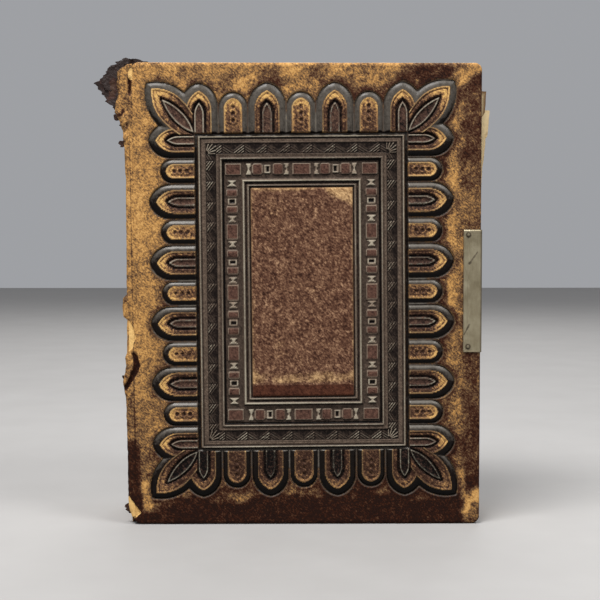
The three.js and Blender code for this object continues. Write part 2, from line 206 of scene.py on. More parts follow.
def slab(outer, inner):
    """Points and faces of the closed plate between two grids of the same size."""
    rows, columns = outer.shape[:2]
    count = rows * columns
    loop = border(rows, columns)
    side = np.stack([np.roll(loop, -1), loop, loop + count, np.roll(loop, -1) + count], -1)
    points = np.concatenate([outer.reshape(-1, 3), inner.reshape(-1, 3)])
    return points, [grid_faces(rows, columns), grid_faces(rows, columns, flip=True, first=count), side]


def rings(loops):
    """Points and faces of the closed skin through loops of points, with a fan over each end."""
    loops = np.asarray(loops, float)
    count, sides = loops.shape[:2]
    points = np.concatenate([loops.reshape(-1, 3), loops[:1].mean(1), loops[-1:].mean(1)])
    start = np.arange(sides)
    after = np.roll(start, -1)
    low, high = np.full(sides, count * sides), np.full(sides, count * sides + 1)
    last = (count - 1) * sides
    first_cap = np.stack([after, start, low], -1)
    last_cap = np.stack([start + last, after + last, high], -1)
    return points, [grid_faces(count, sides, close_columns=True), np.concatenate([first_cap, last_cap])]


def on_both(outer, inner):
    """An attribute of a slab: values for its outer grid, and values or one value for its inner grid."""
    return np.concatenate([np.ravel(outer), np.broadcast_to(inner, np.shape(outer)).ravel()])


def joined(parts):
    """One set of points and faces from several."""
    points, faces, first = [], [], 0
    for part_points, part_faces in parts:
        points.append(part_points)
        faces.extend(f + first for f in part_faces)
        first += len(part_points)
    return np.concatenate(points), faces


def finish_piece(piece, material, body, nodes=()):
    piece.data.materials.clear()
    piece.data.materials.append(material)
    if body:
        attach(piece, body)
    if nodes:
        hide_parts(*nodes)
    return piece


def soften_edges(piece, width_mm):
    bevel = piece.modifiers.new("edges", "BEVEL")
    bevel.width = width_mm * MM
    bevel.segments = 2
    bevel.limit_method = "ANGLE"
    bevel.angle_limit = math.radians(40)


# ---- Material graphs ----
def srgb(*levels):
    """A colour seen on a screen, in levels up to 255, as a shader's colour."""
    return tuple(((v / 255 + 0.055) / 1.055) ** 2.4 for v in levels)


class Graph:
    """A material's node tree, written as function calls that return sockets."""

    def __init__(self, name):
        self.material = bpy.data.materials.new(name)
        self.material.use_nodes = True
        self.tree = self.material.node_tree
        self.shader = self.tree.nodes["Principled BSDF"]

    def node(self, kind, **settings):
        made = self.tree.nodes.new(kind)
        for key, value in settings.items():
            setattr(made, key, value)
        return made

    def feed(self, socket, value):
        if isinstance(value, bpy.types.NodeSocket):
            self.tree.links.new(value, socket)
        elif isinstance(value, (tuple, list)) and len(value) == 3 and len(socket.default_value) == 4:
            socket.default_value = (*value, 1)
        else:
            socket.default_value = value

    def attribute(self, name, channel="Fac"):
        return self.node("ShaderNodeAttribute", attribute_name=name).outputs[channel]

    def channels(self, colour):
        split = self.node("ShaderNodeSeparateColor")
        self.feed(split.inputs[0], colour)
        return split.outputs

    def place(self, stretch=(1, 1, 1), turn=0.0):
        """Object coordinates in millimetres, turned about Y in degrees and then stretched."""
        coordinates = self.node("ShaderNodeTexCoord").outputs["Object"]
        if turn:
            turned = self.node("ShaderNodeVectorRotate", rotation_type="Y_AXIS")
            turned.inputs["Angle"].default_value = math.radians(turn)
            self.feed(turned.inputs["Vector"], coordinates)
            coordinates = turned.outputs[0]
        mapping = self.node("ShaderNodeMapping")
        self.feed(mapping.inputs["Vector"], coordinates)
        mapping.inputs["Scale"].default_value = [s / MM for s in stretch]
        return mapping.outputs[0]

    def noise(self, size, detail=4, rough=0.6, stretch=(1, 1, 1), turn=0.0):
        """Noise centred on 0, from about -0.5 to 0.5, with features of the given size."""
        made = self.node("ShaderNodeTexNoise")
        self.feed(made.inputs["Vector"], self.place(stretch, turn))
        made.inputs["Scale"].default_value = 1 / size
        made.inputs["Detail"].default_value = detail
        made.inputs["Roughness"].default_value = rough
        return self.add(made.outputs["Fac"], -0.5)

    def cells(self, size, stretch=(1, 1, 1), turn=0.0):
        made = self.node("ShaderNodeTexVoronoi", feature="SMOOTH_F1")
        self.feed(made.inputs["Vector"], self.place(stretch, turn))
        made.inputs["Scale"].default_value = 1 / size
        return made.outputs["Distance"]

    def stripes(self, axis, size, distortion=0.0):
        made = self.node("ShaderNodeTexWave", bands_direction=axis)
        self.feed(made.inputs["Vector"], self.place())
        made.inputs["Scale"].default_value = math.pi / 10 / size
        made.inputs["Distortion"].default_value = distortion
        return made.outputs["Fac"]

    def math(self, operation, a, b=0.0, c=0.0):
        made = self.node("ShaderNodeMath", operation=operation)
        for socket, value in zip(made.inputs, (a, b, c)):
            self.feed(socket, value)
        return made.outputs[0]

    def add(self, a, b):
        return self.math("ADD", a, b)

    def times(self, a, b):
        return self.math("MULTIPLY", a, b)

    def total(self, *terms):
        """The sum of sockets, or of (socket, share) pairs."""
        result = None
        for term in terms:
            term = self.times(*term) if isinstance(term, tuple) else term
            result = term if result is None else self.add(result, term)
        return result

    def spread(self, value, low, high, out_low=0.0, out_high=1.0):
        made = self.node("ShaderNodeMapRange", interpolation_type="SMOOTHSTEP")
        for socket, v in zip(made.inputs, (value, low, high, out_low, out_high)):
            self.feed(socket, v)
        return made.outputs[0]

    def mix(self, factor, a, b):
        made = self.node("ShaderNodeMix", data_type="RGBA")
        self.feed(made.inputs["Factor"], factor)
        self.feed(made.inputs[6], a)
        self.feed(made.inputs[7], b)
        return made.outputs[2]

    def ramp(self, factor, *stops):
        made = self.node("ShaderNodeValToRGB")
        ramp = made.color_ramp
        while len(ramp.elements) < len(stops):
            ramp.elements.new(0.5)
        for element, (place, colour) in zip(ramp.elements, stops):
            element.position = place
            element.color = (*colour, 1)
        self.feed(made.inputs[0], factor)
        return made.outputs["Color"]

    def bump(self, height, depth_mm, strength):
        made = self.node("ShaderNodeBump")
        made.inputs["Strength"].default_value = strength
        made.inputs["Distance"].default_value = depth_mm * MM
        self.feed(made.inputs["Height"], height)
        return made.outputs[0]

    def finish(self, **inputs):
        for key, value in inputs.items():
            self.feed(self.shader.inputs[key.replace("_", " ")], value)
        return self.material


# ---- Leather ----
GOLDEN = srgb(196, 152, 92)
TAN = srgb(170, 125, 70)
MID_BROWN = srgb(116, 87, 56)
DARK_BROWN = srgb(72, 51, 37)
MAROON = srgb(56, 25, 10)
SOOT = srgb(31, 15, 9)
BARE_BOARD = srgb(224, 184, 118)
WORN_GOLD = srgb(196, 164, 112)
WORN_GREY = srgb(158, 150, 132)


def leather_colour(g, tone):
    return g.ramp(tone, (0.0, GOLDEN), (0.24, TAN), (0.46, MID_BROWN), (0.66, DARK_BROWN),
                  (0.84, MAROON), (1.0, SOOT))


def grain(g):
    """The height of fine straight-grained leather: slanting ridges crossed by small creases."""
    ridges = g.noise(1.0, 3, 0.55, (1, 1, 0.38), 45)
    pebbles = g.cells(1.05, (1, 1, 0.7), 45)
    return g.total((ridges, 1.2), (pebbles, 0.8), (g.noise(0.5, 2), 0.4))


def ornament_colours(g, tone, fine, small):
    """Colours of the petals' bands, cores and rims, and of the frame and its small blocks."""
    speckle = g.total((fine, 1.0), (small, 0.55))
    band = g.ramp(g.total(tone, (speckle, 2.3)), (0.05, srgb(200, 160, 96)), (0.4, srgb(150, 112, 70)),
                  (0.7, srgb(94, 68, 50)), (1.0, srgb(48, 30, 22)))
    core = g.ramp(g.total(tone, (speckle, 1.5)), (0.1, srgb(136, 110, 86)), (0.6, srgb(74, 53, 44)),
                  (1.0, srgb(10, 6, 5)))
    roll = g.ramp(g.total(tone, (fine, 0.5), (small, 0.5)), (0.12, srgb(7, 4, 3)), (0.45, srgb(20, 14, 11)),
                  (1.0, srgb(92, 86, 78)))
    framing = g.ramp(g.total(tone, (speckle, 0.7)), (0.15, srgb(128, 110, 94)), (0.5, srgb(73, 61, 52)),
                     (0.8, srgb(27, 20, 17)), (1.0, srgb(6, 4, 3)))
    bead = g.ramp(g.total(0.5, (speckle, 1.4)), (0.2, srgb(36, 21, 18)), (0.8, srgb(100, 72, 60)))
    return band, core, roll, framing, bead


def suede_colour(g, fine, small, middle):
    """The centre panel: its surface rubbed to suede, paler and darker where rub is over and under 0."""
    nap = g.total(0.47, (fine, 1.9), (small, 1.1), (middle, 0.6))
    suede = g.ramp(nap, (0.1, srgb(40, 22, 16)), (0.4, srgb(80, 53, 40)), (0.62, srgb(110, 80, 61)),
                   (0.95, srgb(166, 132, 102)))
    rubbed = g.spread(g.total(g.attribute("rub"), (small, 0.9), (middle, 0.6)), 0.15, 0.85)
    pale = g.ramp(nap, (0.15, srgb(128, 94, 62)), (0.8, srgb(204, 168, 120)))
    suede = g.mix(g.times(rubbed, 0.85), suede, pale)
    stained = g.spread(g.times(g.attribute("rub"), -1.0), 0.2, 0.6)
    return g.mix(stained, suede, g.ramp(nap, (0.2, srgb(48, 24, 17)), (0.8, srgb(84, 50, 36))))


def cover_leather_material():
    """Embossed leather: each zone of the design has its colour, then wear and bare board over all."""
    g = Graph("cover_leather")
    band, core, panel = g.channels(g.attribute("zone_a", "Color"))[:3]
    roll, framing, bead = g.channels(g.attribute("zone_b", "Color"))[:3]
    tone = g.attribute("tone")
    fine = g.noise(1.0, 4, 0.7, (1, 1, 0.6), 45)
    small = g.noise(2.6, 4, 0.65)
    middle = g.noise(8, 5, 0.62)
    mottle = g.total((fine, 1.7), (small, 0.95), (middle, 0.55))
    colour = leather_colour(g, g.add(tone, mottle))
    band_colour, core_colour, roll_colour, frame_colour, bead_colour = ornament_colours(g, tone, fine, small)
    zones = ((roll, roll_colour), (framing, frame_colour), (bead, bead_colour), (band, band_colour),
             (core, core_colour), (panel, suede_colour(g, fine, small, middle)))
    for zone, zone_colour in zones:
        colour = g.mix(zone, colour, zone_colour)
    worn = g.spread(g.total(g.attribute("wear"), (fine, 1.1), (small, 0.4)), 0.25, 0.95, 0.0, 0.85)
    colour = g.mix(worn, colour, g.mix(g.math("MAXIMUM", framing, core), WORN_GOLD, WORN_GREY))
    bare = g.spread(g.total(g.attribute("bare"), (small, 0.5)), 0.4, 0.6)
    board = g.ramp(g.total(0.5, middle, fine), (0.2, srgb(190, 150, 92)), (0.8, BARE_BOARD))
    colour = g.mix(bare, colour, board)
    sheen = g.math("MAXIMUM", roll, g.times(framing, 0.55))
    shine = g.times(roll, g.spread(g.total(tone, (small, 1.2)), 0.3, 1.0, 0.02, 0.27))
    height = g.times(grain(g), g.math("SUBTRACT", 1.0, g.times(sheen, 0.8)))
    rough = g.total(0.62, (sheen, -0.32), (panel, 0.3), (middle, 0.2), (bare, 0.25))
    return g.finish(Base_Color=colour, Roughness=rough, Specular_IOR_Level=0.08, Coat_Weight=shine,
                    Coat_Roughness=0.36, Normal=g.bump(height, 0.2, 0.9))


def worn_leather_material():
    """Leather of the spine and its torn and frayed pieces, and its dark suede side where it is torn: tone,
    wear and bare.
    """
    g = Graph("worn_leather")
    fine = g.noise(1.0, 4, 0.7, (1, 1, 0.6), 45)
    small = g.noise(3, 4, 0.65)
    middle = g.noise(11, 5, 0.62)
    colour = leather_colour(g, g.total(g.attribute("tone"), (fine, 0.55), (small, 0.4), (middle, 0.45)))
    worn = g.spread(g.total(g.attribute("wear"), (fine, 0.8), (small, 0.5)), 0.3, 0.95)
    rubbed = g.ramp(g.total(0.5, small), (0.2, srgb(160, 116, 66)), (0.8, srgb(205, 165, 108)))
    colour = g.mix(worn, colour, rubbed)
    bare = g.spread(g.total(g.attribute("bare"), (small, 0.6)), 0.35, 0.65)
    fibres = g.noise(0.6, 3, 0.7, (1, 1, 0.25))
    suede = g.ramp(g.total(0.5, fibres, small), (0.2, srgb(26, 17, 12)), (0.6, srgb(66, 44, 28)),
                   (0.9, srgb(118, 88, 54)))
    colour = g.mix(bare, colour, suede)
    rough = g.total(0.66, (bare, 0.25), (small, 0.25))
    height = g.total(grain(g), (g.times(fibres, bare), 2.0))
    return g.finish(Base_Color=colour, Roughness=rough, Specular_IOR_Level=0.35,
                    Normal=g.bump(height, 0.25, 0.9))


# ---- Embossed relief ----
def arch(s, t, half, length, reach):
    """Signed distance to an arch on the t axis: straight sides, then two arcs that meet at length."""
    radius = (reach**2 + half**2) / (2 * half)
    rise = np.maximum(t - (length - reach), 0)
    return np.hypot(np.abs(s) + radius - half, rise) - radius


def lens(s, t, half, start, widest, length):
    """Signed distance to a leaf on the t axis, with its widest place between its two tips."""
    reach = np.where(t < widest, widest - start, length - widest)
    radius = (reach**2 + half**2) / (2 * half)
    return np.hypot(np.abs(s) + radius - half, t - widest) - radius


def nearest(v, period, offset, most):
    """Distance of v from the nearest of the places offset + k * period within +-most."""
    k = np.round((v - offset) / period)
    return v - np.clip(offset + k * period, -most, most)


FAR = 1e3  # a distance outside everything
# petals on the frame's sides and ends: half width, length, and half widths of groove and core
SIDE_POINTED = (12.2, 34.0, 4.6, 2.9)
END_POINTED = (12.9, 34.7, 5.2, 3.3)
SIDE_ROUND = (8.4, 26.0)
END_ROUND = (9.9, 28.6)
PIT_STEP = 4.4  # spacing of the three pits in a round petal
# the corner leaf's outlines, each its half width, start, widest place and tip along the diagonal
LEAF_OUTLINES = ((14.0, -14.0, 25.0, 49.2), (9.4, -9.0, 23.5, 43.4), (5.2, 0.5, 18.5, 36.0),
                 (3.7, 3.5, 17.5, 34.0))


def ornament(u, v):
    """Height over the plain leather, masks and tone of the ring of petals and corner leaves.

    Four nested outlines make each: its edge, the inner edge of its rolled rim, the inner edge of
    its band, and its core. All are signed distances, negative inside.
    """
    side_t, end_t = np.abs(u) - FRAME_X, np.abs(v) - FRAME_Z
    end_t = np.where((v > 0) & (end_t > 0), end_t / TOP_STRETCH, end_t)
    outline = [np.full(u.shape, FAR) for _ in range(4)]
    tip = np.zeros(u.shape)
    pits = np.zeros(u.shape)
    is_round = np.zeros(u.shape, bool)

    def take(here, shapes, share, spots, round_one):
        nonlocal tip, pits, is_round
        for k in range(4):
            outline[k] = np.where(here, shapes[k], outline[k])
        tip = np.where(here, share, tip)
        pits = np.where(here, spots, pits)
        is_round = np.where(here, round_one, is_round)

    side_s = nearest(v, SIDE_PERIOD, SIDE_PERIOD / 2, 2.5 * SIDE_PERIOD)
    end_s = nearest(u, END_PERIOD, END_PERIOD / 2, 1.5 * END_PERIOD)
    for t, s, sizes in ((side_t, side_s, SIDE_POINTED), (end_t, end_s, END_POINTED)):
        half, length, groove, ridge = sizes
        shapes = [arch(s, t, half, length, length * 0.43), arch(s, t, half - 4.4, length - 5.6, 12.6),
                  arch(s, t, groove, length - 11.2, 8.5), arch(s, t, ridge, length - 13.2, 8.0)]
        take((t >= 0) & (shapes[0] < outline[0]), shapes, t / length, 0, False)
    side_s = nearest(v, SIDE_PERIOD, 0, 2 * SIDE_PERIOD)
    end_s = nearest(u, END_PERIOD, 0, END_PERIOD)
    for t, s, (half, length) in ((side_t, side_s, SIDE_ROUND), (end_t, end_s, END_ROUND)):
        shapes = [arch(s, t, half, length, half), arch(s, t, half - 3.7, length - 4.4, half - 3.2)]
        spots = np.zeros(u.shape)
        for k in range(3):
            r = np.hypot(s, t - (length - 9.8 - PIT_STEP * k))
            spots = spots + bump(r, 0, 1.5) - 0.6 * bump(r, 2.0, 0.6)
        take((t >= 0) & (shapes[0] < outline[0]), [*shapes, FAR, FAR], t / length, spots, True)
    t, s = (side_t + end_t) / math.sqrt(2), (side_t - end_t) / math.sqrt(2)
    leaf = [lens(s, t, *sizes) for sizes in LEAF_OUTLINES]
    in_corner = (side_t > -0.5) & (end_t > -0.5)
    leaf_in_front = (leaf[1] < 0) | ((leaf[0] < outline[0]) & (leaf[0] < 0.25))
    leaf_here = in_corner & leaf_in_front & (outline[3] > 1.0)
    beyond = in_corner & ~leaf_here & (leaf[0] < outline[0])
    take(leaf_here, leaf, t / LEAF_OUTLINES[0][3], 0, False)
    outline[0] = np.where(in_corner, np.minimum(outline[0], leaf[0]), outline[0])
    take(beyond, [outline[0], leaf[1], leaf[2], leaf[3]], 0, 0, False)

    outer, rim, band_end, core = outline
    wall = smooth(outer, -0.35, 0.2)  # 1 on the plain leather, 0 inside the ornament
    across_rim = np.clip(-outer / np.maximum(rim - outer, 1e-3), 0, 1)
    rolled = -1.7 + 2.55 * np.sin(across_rim**0.85 * math.pi / 2)
    in_rim = smooth(rim, -0.1, 0.15)
    banded = 0.62 + 0.38 * bump(rim, -0.35, 0.75) - 0.35 * bump(rim, -1.45, 0.4)
    in_band = smooth(band_end, -0.1, 0.2)
    edge_line = bump(band_end, 0.55, 0.4)
    banded = banded - 0.25 * edge_line
    across_groove = np.clip(-band_end / np.maximum(core - band_end, 1e-3), 0, 1)
    grooved = 0.4 - 1.6 * np.sqrt(np.clip(np.sin(across_groove * math.pi), 0, 1))
    in_groove = smooth(core, 0.0, 0.25)
    ridge_u = bump(core, -0.55, 0.75)
    cored = -0.35 + 0.95 * ridge_u
    pitted = np.where(rim < -1.2, 0.55 - 0.7 * np.clip(pits, -0.6, 1), banded)
    inside_band = grooved * in_groove + cored * (1 - in_groove)
    within = np.where(is_round, pitted, banded * in_band + inside_band * (1 - in_band))
    height = rolled * in_rim + within * (1 - in_rim)
    height = height * (1 - wall) + 0.28 * bump(outer, 0.55, 0.75) * wall

    golden = smooth(tip, 0.42, 0.8)
    tone_band = 0.78 - 0.68 * golden + 0.5 * bump(rim, -1.45, 0.5) + 0.5 * edge_line
    tone_round = 0.80 - 0.36 * golden + 0.5 * np.clip(pits, -0.3, 1) - 0.35 * bump(rim, -0.9, 0.9)
    tone_core = 0.66 + 0.5 * in_groove * smooth(across_groove, 0.02, 0.2)
    tone = np.where(is_round, tone_round, tone_band * in_band + tone_core * (1 - in_band))
    tone = across_rim * in_rim + tone * (1 - in_rim)
    inner = (1 - in_rim) * (1 - wall)
    in_core = np.where(is_round, 0, 1 - in_band) * inner
    line = 0.9 * bump(rim, -0.3, 0.6) * (1 - wall) + 0.88 * ridge_u * in_core
    masks = {
        "inside": 1 - wall,
        "roll": in_rim * (1 - wall),
        "band": inner - in_core,
        "core": in_core,
        "ridge": np.maximum(line, 0.56 * bump(outer, 0.4, 0.6)),
        "halo": 1 - smooth(outer, 0.3, 5.0),
        "tone": tone,
    }
    # the narrow gaps between petals are rubbed to the same grey as the rims
    beside = np.maximum(side_t, end_t)
    gap = wall * (1 - smooth(outer, 1.3, 2.1)) * (1 - smooth(beside, 13, 18))
    masks["gap"] = gap
    masks["roll"] = np.maximum(masks["roll"], gap)
    masks["inside"] = np.maximum(masks["inside"], gap)
    # the dark groove that runs round the frame at the petals' roots
    strip = (beside > -0.3) * (1 - smooth(beside, 2.0, 2.5)) * ((side_t < 2.6) | (end_t < 2.6))
    strip = strip * ((side_t < 0.3) | (end_t < 0.3) | (outer < 0.2))
    height = height * (1 - strip) - 1.5 * np.sqrt(bump(beside, 1.0, 1.5)) * strip
    masks = {key: value * (1 - strip) for key, value in masks.items()}
    masks["tone"] = masks["tone"] + 0.42 * strip
    masks["roll"] = masks["roll"] + strip
    masks["ridge"] = np.maximum(masks["ridge"], 0.4 * bump(beside, 2.9, 0.5) * masks["inside"])
    masks["inside"] = np.maximum(masks["inside"], strip)
    masks["beside"] = beside
    return height, masks


# places in the frame, inwards from its outer edge
HATCH = (5.4, 12.4)
CHANNEL = (16.9, 29.9)
CHAIN_MIDDLE = 23.2
CHAIN_HALF = 4.1  # half width of the chain's pieces
PANEL_EDGE = (35.8, 36.6)
RIDGES = ((1.1, 0.7, 1.1, 0.8), (3.4, 0.5, 0.25, 0.2), (4.9, 0.4, 0.4, 0.28), (12.9, 0.45, 0.4, 0.3),
          (15.8, 0.6, 1.0, 0.62), (31.1, 0.8, 1.25, 1.1), (34.3, 0.6, 0.7, 0.62))  # half width, rise, wear
GROOVES = ((2.1, 0.45, 0.3), (14.6, 0.5, 0.15), (17.2, 0.9, 0.5), (32.7, 0.8, 0.4), (35.5, 0.5, 0.5))
EVERYWHERE = 1e6  # a row of pieces without an end


def hatching(u, v, vertical, depth, deep_x, deep_z, period):
    """Height from 0 to 1 of the hatched band's strokes: feathers, and a quarter star in each corner."""
    width = HATCH[1] - HATCH[0]
    low_side = np.where(vertical, u < 0, v < 0)
    away = np.where(low_side, depth - HATCH[0], HATCH[1] - depth)
    along = nearest(np.where(vertical, v, u), period, 0, EVERYWHERE)
    slope = np.where(along > 0, 0.74, 0.62)
    below = (np.abs(along) * slope - away) / np.sqrt(1 + slope**2)
    fan = 0.5 * bump(below, -1.5, 0.45)
    for step, strength in ((0.0, 1.0), (1.45, 0.95), (2.9, 0.8)):
        fan = np.maximum(fan, strength * bump(below, step, 0.5))
    fan = fan * smooth(period / 2 - np.abs(along), 0.1, 0.7) * np.where(along > 0, 1.0, 0.62)
    corner_x = np.where(u < 0, deep_x - HATCH[0], HATCH[1] - deep_x)
    corner_z = np.where(v < 0, deep_z - HATCH[0], HATCH[1] - deep_z)
    far, turned = np.hypot(corner_x, corner_z), np.degrees(np.arctan2(corner_z, corner_x))
    off_ray = (turned - 9) % 18 - 9  # the star's rays are 18 degrees apart
    star = bump(far * np.sin(np.radians(off_ray)), 0, 0.5) * smooth(far, 1.4, 2.4)
    in_corner = (deep_x < HATCH[1]) & (deep_z < HATCH[1])
    return np.where(in_corner, star, fan) * smooth(away, 0.1, 0.5) * smooth(width - away, 0.1, 0.5)


def chain(along, across, vertical):
    """The channel's pieces, as signed distances: a square, beads or bars, ties and long blocks."""
    period = np.where(vertical, SIDE_PERIOD, END_PERIOD)
    s, w = np.abs(nearest(along, period, period / 2, EVERYWHERE)), np.abs(across)
    square = np.maximum(s - 2.4, w - 3.1)
    hole = np.maximum(s - 1.0, w - 1.7)
    bead_middle, bead_half = np.where(vertical, 5.75, 7.0), np.where(vertical, 2.75, 3.7)
    corner = np.where(vertical, 1.3, 1.9)
    past_s, past_w = np.abs(s - bead_middle) - bead_half + corner, w - CHAIN_HALF + corner
    bead = np.hypot(np.maximum(past_s, 0), np.maximum(past_w, 0))
    bead = bead + np.minimum(np.maximum(past_s, past_w), 0) - corner
    from_tie = np.abs(s - np.where(vertical, 12.3, 13.0))
    side_tie = np.maximum(from_tie - 2.3, w - 0.8 - 1.25 * from_tie)
    end_tie = np.maximum(from_tie - 0.6 - 0.38 * w, w - CHAIN_HALF)
    tie = np.where(vertical, side_tie, end_tie)
    block = np.maximum(np.abs(s - period / 2) - np.where(vertical, 5.5, 6.4), w - CHAIN_HALF)
    return square, hole, bead, tie, block


def framework(u, v):
    """Height, masks and tone inside the outer frame: ridges, hatched band, chain and centre panel."""
    deep_x, deep_z = FRAME_X - np.abs(u), FRAME_Z + 0.6 - np.abs(v)
    depth, vertical = np.minimum(deep_x, deep_z), deep_x < deep_z
    furthest = np.maximum(deep_x, deep_z)
    height = np.full(u.shape, -0.1)
    ridge = np.zeros(u.shape)
    dark = np.full(u.shape, 0.45)
    for place, half, rise, pale in RIDGES:
        line = bump(depth, place, half)
        height = height + rise * line
        ridge = np.maximum(ridge, line * pale)
    # the grooves and the sunk channel are darkened in step with their depth: painted shade, with the dirt
    # that lies in them
    for place, half, fall in GROOVES:
        line = bump(depth, place, half)
        height = height - fall * line
        dark = dark + fall * line
    in_channel = (depth > CHANNEL[0]) & (depth < CHANNEL[1])
    sunk = between(depth, *CHANNEL, 0.4)
    height = height - 1.1 * sunk
    dark = dark + 0.14 * sunk
    along = np.where(vertical, v, u)
    in_hatch = (depth > HATCH[0]) & (depth < HATCH[1])
    feather = np.where(vertical, SIDE_PERIOD, END_PERIOD) / 3
    stroke = hatching(u, v, vertical, depth, deep_x, deep_z, feather)
    height = np.where(in_hatch, -0.45 + 0.9 * stroke, height)
    dark = np.where(in_hatch, 0.82 - 0.5 * stroke, dark)
    ridge = np.where(in_hatch, 0.74 * stroke, ridge)

    square, hole, bead, tie, block = chain(along, depth - CHAIN_MIDDLE, vertical)
    corner_zone = (depth > 17.8) & (furthest < 31.0)
    corner = np.maximum(np.abs(deep_x - CHAIN_MIDDLE - 1.0) - 5.6, np.abs(deep_z - CHAIN_MIDDLE) - 4.2)
    pieces = (square, hole, bead, tie, block)
    square, hole, bead, tie, block = (np.where(corner_zone, 9.0, shape) for shape in pieces)
    block = np.minimum(block, corner)
    raised, rims, fill = np.zeros(u.shape), np.zeros(u.shape), np.zeros(u.shape)
    for shape, dome in ((square, 0.0), (bead, 0.55), (block, 0.15)):
        pad = 0.95 * smooth(-shape, 0, 0.45) - 0.3 * smooth(-shape, 0.8, 1.2)
        pad = pad + dome * np.sqrt(np.clip((-shape - 0.8) / 2.4, 0, 1))
        raised = np.maximum(raised, pad)
        rims = np.maximum(rims, 0.62 * bump(shape, -0.4, 0.45))
        fill = np.maximum(fill, smooth(-shape, 0.5, 0.9))
    raised = np.maximum(raised, 0.95 * smooth(-tie, -0.1, 0.5)) - 1.1 * smooth(-hole, -0.2, 0.2)
    rims = np.maximum(rims, 1.1 * smooth(-tie, -0.1, 0.4))
    rims = np.maximum(rims, 0.9 * smooth(-square, 0.1, 0.5)) * (1 - smooth(-hole, -0.2, 0.2))
    in_square = square < 0
    height = np.where(in_channel, height + raised, height)
    ridge = np.where(in_channel, 0.95 * rims, ridge)
    # the square's holes are darkened as painted shade with dirt in them, and the raised pieces are paler
    dark = np.where(in_channel, dark - 0.35 * smooth(raised, 0.2, 0.8) + 0.3 * (hole < 0), dark)
    panel = smooth(depth, *PANEL_EDGE)
    height = height * (1 - panel) + 0.55 * panel
    masks = {
        "ridge": ridge * (1 - panel),
        "bead": np.where(in_channel & ~in_square, fill, 0),
        "panel": panel,
        "frame": 1 - panel,
        "tone": dark,
    }
    return height, masks


def relief(x, z):
    """Height over the plain leather and the paint layers of a whole embossed cover."""
    u, v = x - DESIGN_X, z - DESIGN_Z
    inside_frame = (np.abs(u) < FRAME_X) & (np.abs(v) < FRAME_Z)
    outer_height, petals = ornament(u, v)
    inner_height, frames = framework(u, v)
    petals["ornament"], frames["ornament"] = petals["inside"], 1.0
    names = ("band", "core", "roll", "halo", "gap", "beside", "panel", "bead", "frame", "ridge", "ornament",
             "tone")
    layers = {key: np.where(inside_frame, frames.get(key, 0.0), petals.get(key, 0.0)) for key in names}
    return np.where(inside_frame, inner_height, outer_height), layers, u, v


# ---- Covers ----
EDGE_ROUND = 2.4
PROUD = 3.0  # how far the joint leather usually stands out past the board's hinge edge
GRID_STEP = {FRONT: 0.66, BACK: 0.95}  # the relief's grid
EDGE_STEP = 0.45  # and in the rounded edges
FORE_CORNER = 5.0
HINGE_CORNER = {FRONT: 5.0, BACK: 2.5}
DETAIL_FROM = 35.2  # the fine grid starts at the centre panel's edge, this far from the middle
# the turned edge, down the board's sides and in over its inner face: inset and depth
TURNED_EDGE = ((0, 3.6), (0, 5.0), (0, 6.4), (0.25, 7.4), (0.8, 8.1), (1.8, COVER_DEPTH), (13.4, COVER_DEPTH),
               (13.8, 7.9), (2.0, 7.8), (1.6, 2.4))
SIDE_RINGS = 5  # of those, the ones that show on the board's sides
# darker (+) and paler (-) places of the front cover: from, to, half width, strength
PAINTED = ((104, 142, 119, 154, 7, -0.34), (72, 150, 96, 151, 9, 0.24), (117, 142, 117, 96, 9, 0.16),
           (104, 135, 102.5, -30, 4.2, -0.16), (117, -156, 122, -143, 11, -1.05),
           (106, -128, 110, -150, 7, -0.5), (-119, -108, -118, -150, 7.5, 0.5),
           (-114, -157, -92, -157, 6, 0.6), (-109.5, -133, -108, -147, 5, -0.4),
           (-100, -146, -84, -147, 4, -0.16))


def cover_lines(step, edge_step):
    """Grid lines across and up a cover, close together where the relief is sharp."""
    ends_x = (HINGE_X - DESIGN_X, FORE_X - DESIGN_X)
    ends_z = (-DESIGN_Z, HEIGHT - DESIGN_Z)
    fine = step * 0.74
    marks = [DETAIL_FROM, 41.3, 53.8, 57.6, 65.8, FRAME_X]
    half_x = [0, *marks, 75.5, 107.5]
    steps = [step * 1.3, fine, fine, fine, fine, fine, fine, step]
    half_z = [0, *(m + FRAME_Z - FRAME_X + 0.6 for m in marks), 111, 142.2]
    lines = []
    for (low, high), half in ((ends_x, half_x), (ends_z, half_z)):
        positive = graded(half, steps)
        body = np.concatenate([-positive[:0:-1], positive])
        left = graded([low, low + 8, -half[-1]], [edge_step, step])
        right = graded([half[-1], high - 3, high], [step * 1.5, edge_step])
        lines.append(np.concatenate([left[:-1], body, right[1:]]))
    return lines[0] + DESIGN_X, lines[1] + DESIGN_Z


def rounded(x, z, side):
    """Moves points of the cover's rectangle onto its outline with rounded corners."""
    x, z = x.copy(), z.copy()
    for edge_x, sign_x, radius in ((FORE_X, 1, FORE_CORNER), (HINGE_X, -1, HINGE_CORNER[side])):
        for edge_z, sign_z in ((0, -1), (HEIGHT, 1)):
            centre_x, centre_z = edge_x - sign_x * radius, edge_z - sign_z * radius
            a, b = (x - centre_x) * sign_x, (z - centre_z) * sign_z
            here = (a > 0) & (b > 0)
            factor = np.where(here, np.maximum(a, b) / np.maximum(np.hypot(a, b), 1e-9), 1)
            x = np.where(here, centre_x + (x - centre_x) * factor, x)
            z = np.where(here, centre_z + (z - centre_z) * factor, z)
    return x, z


def streak(u, v, u0, v0, u1, v1, half):
    """1 on the line between two points, falling to 0 at a distance of half."""
    du, dv = u1 - u0, v1 - v0
    share = np.clip(((u - u0) * du + (v - v0) * dv) / (du * du + dv * dv), 0, 1)
    return 1 - smooth(np.hypot(u - u0 - share * du, v - v0 - share * dv), half * 0.35, half)


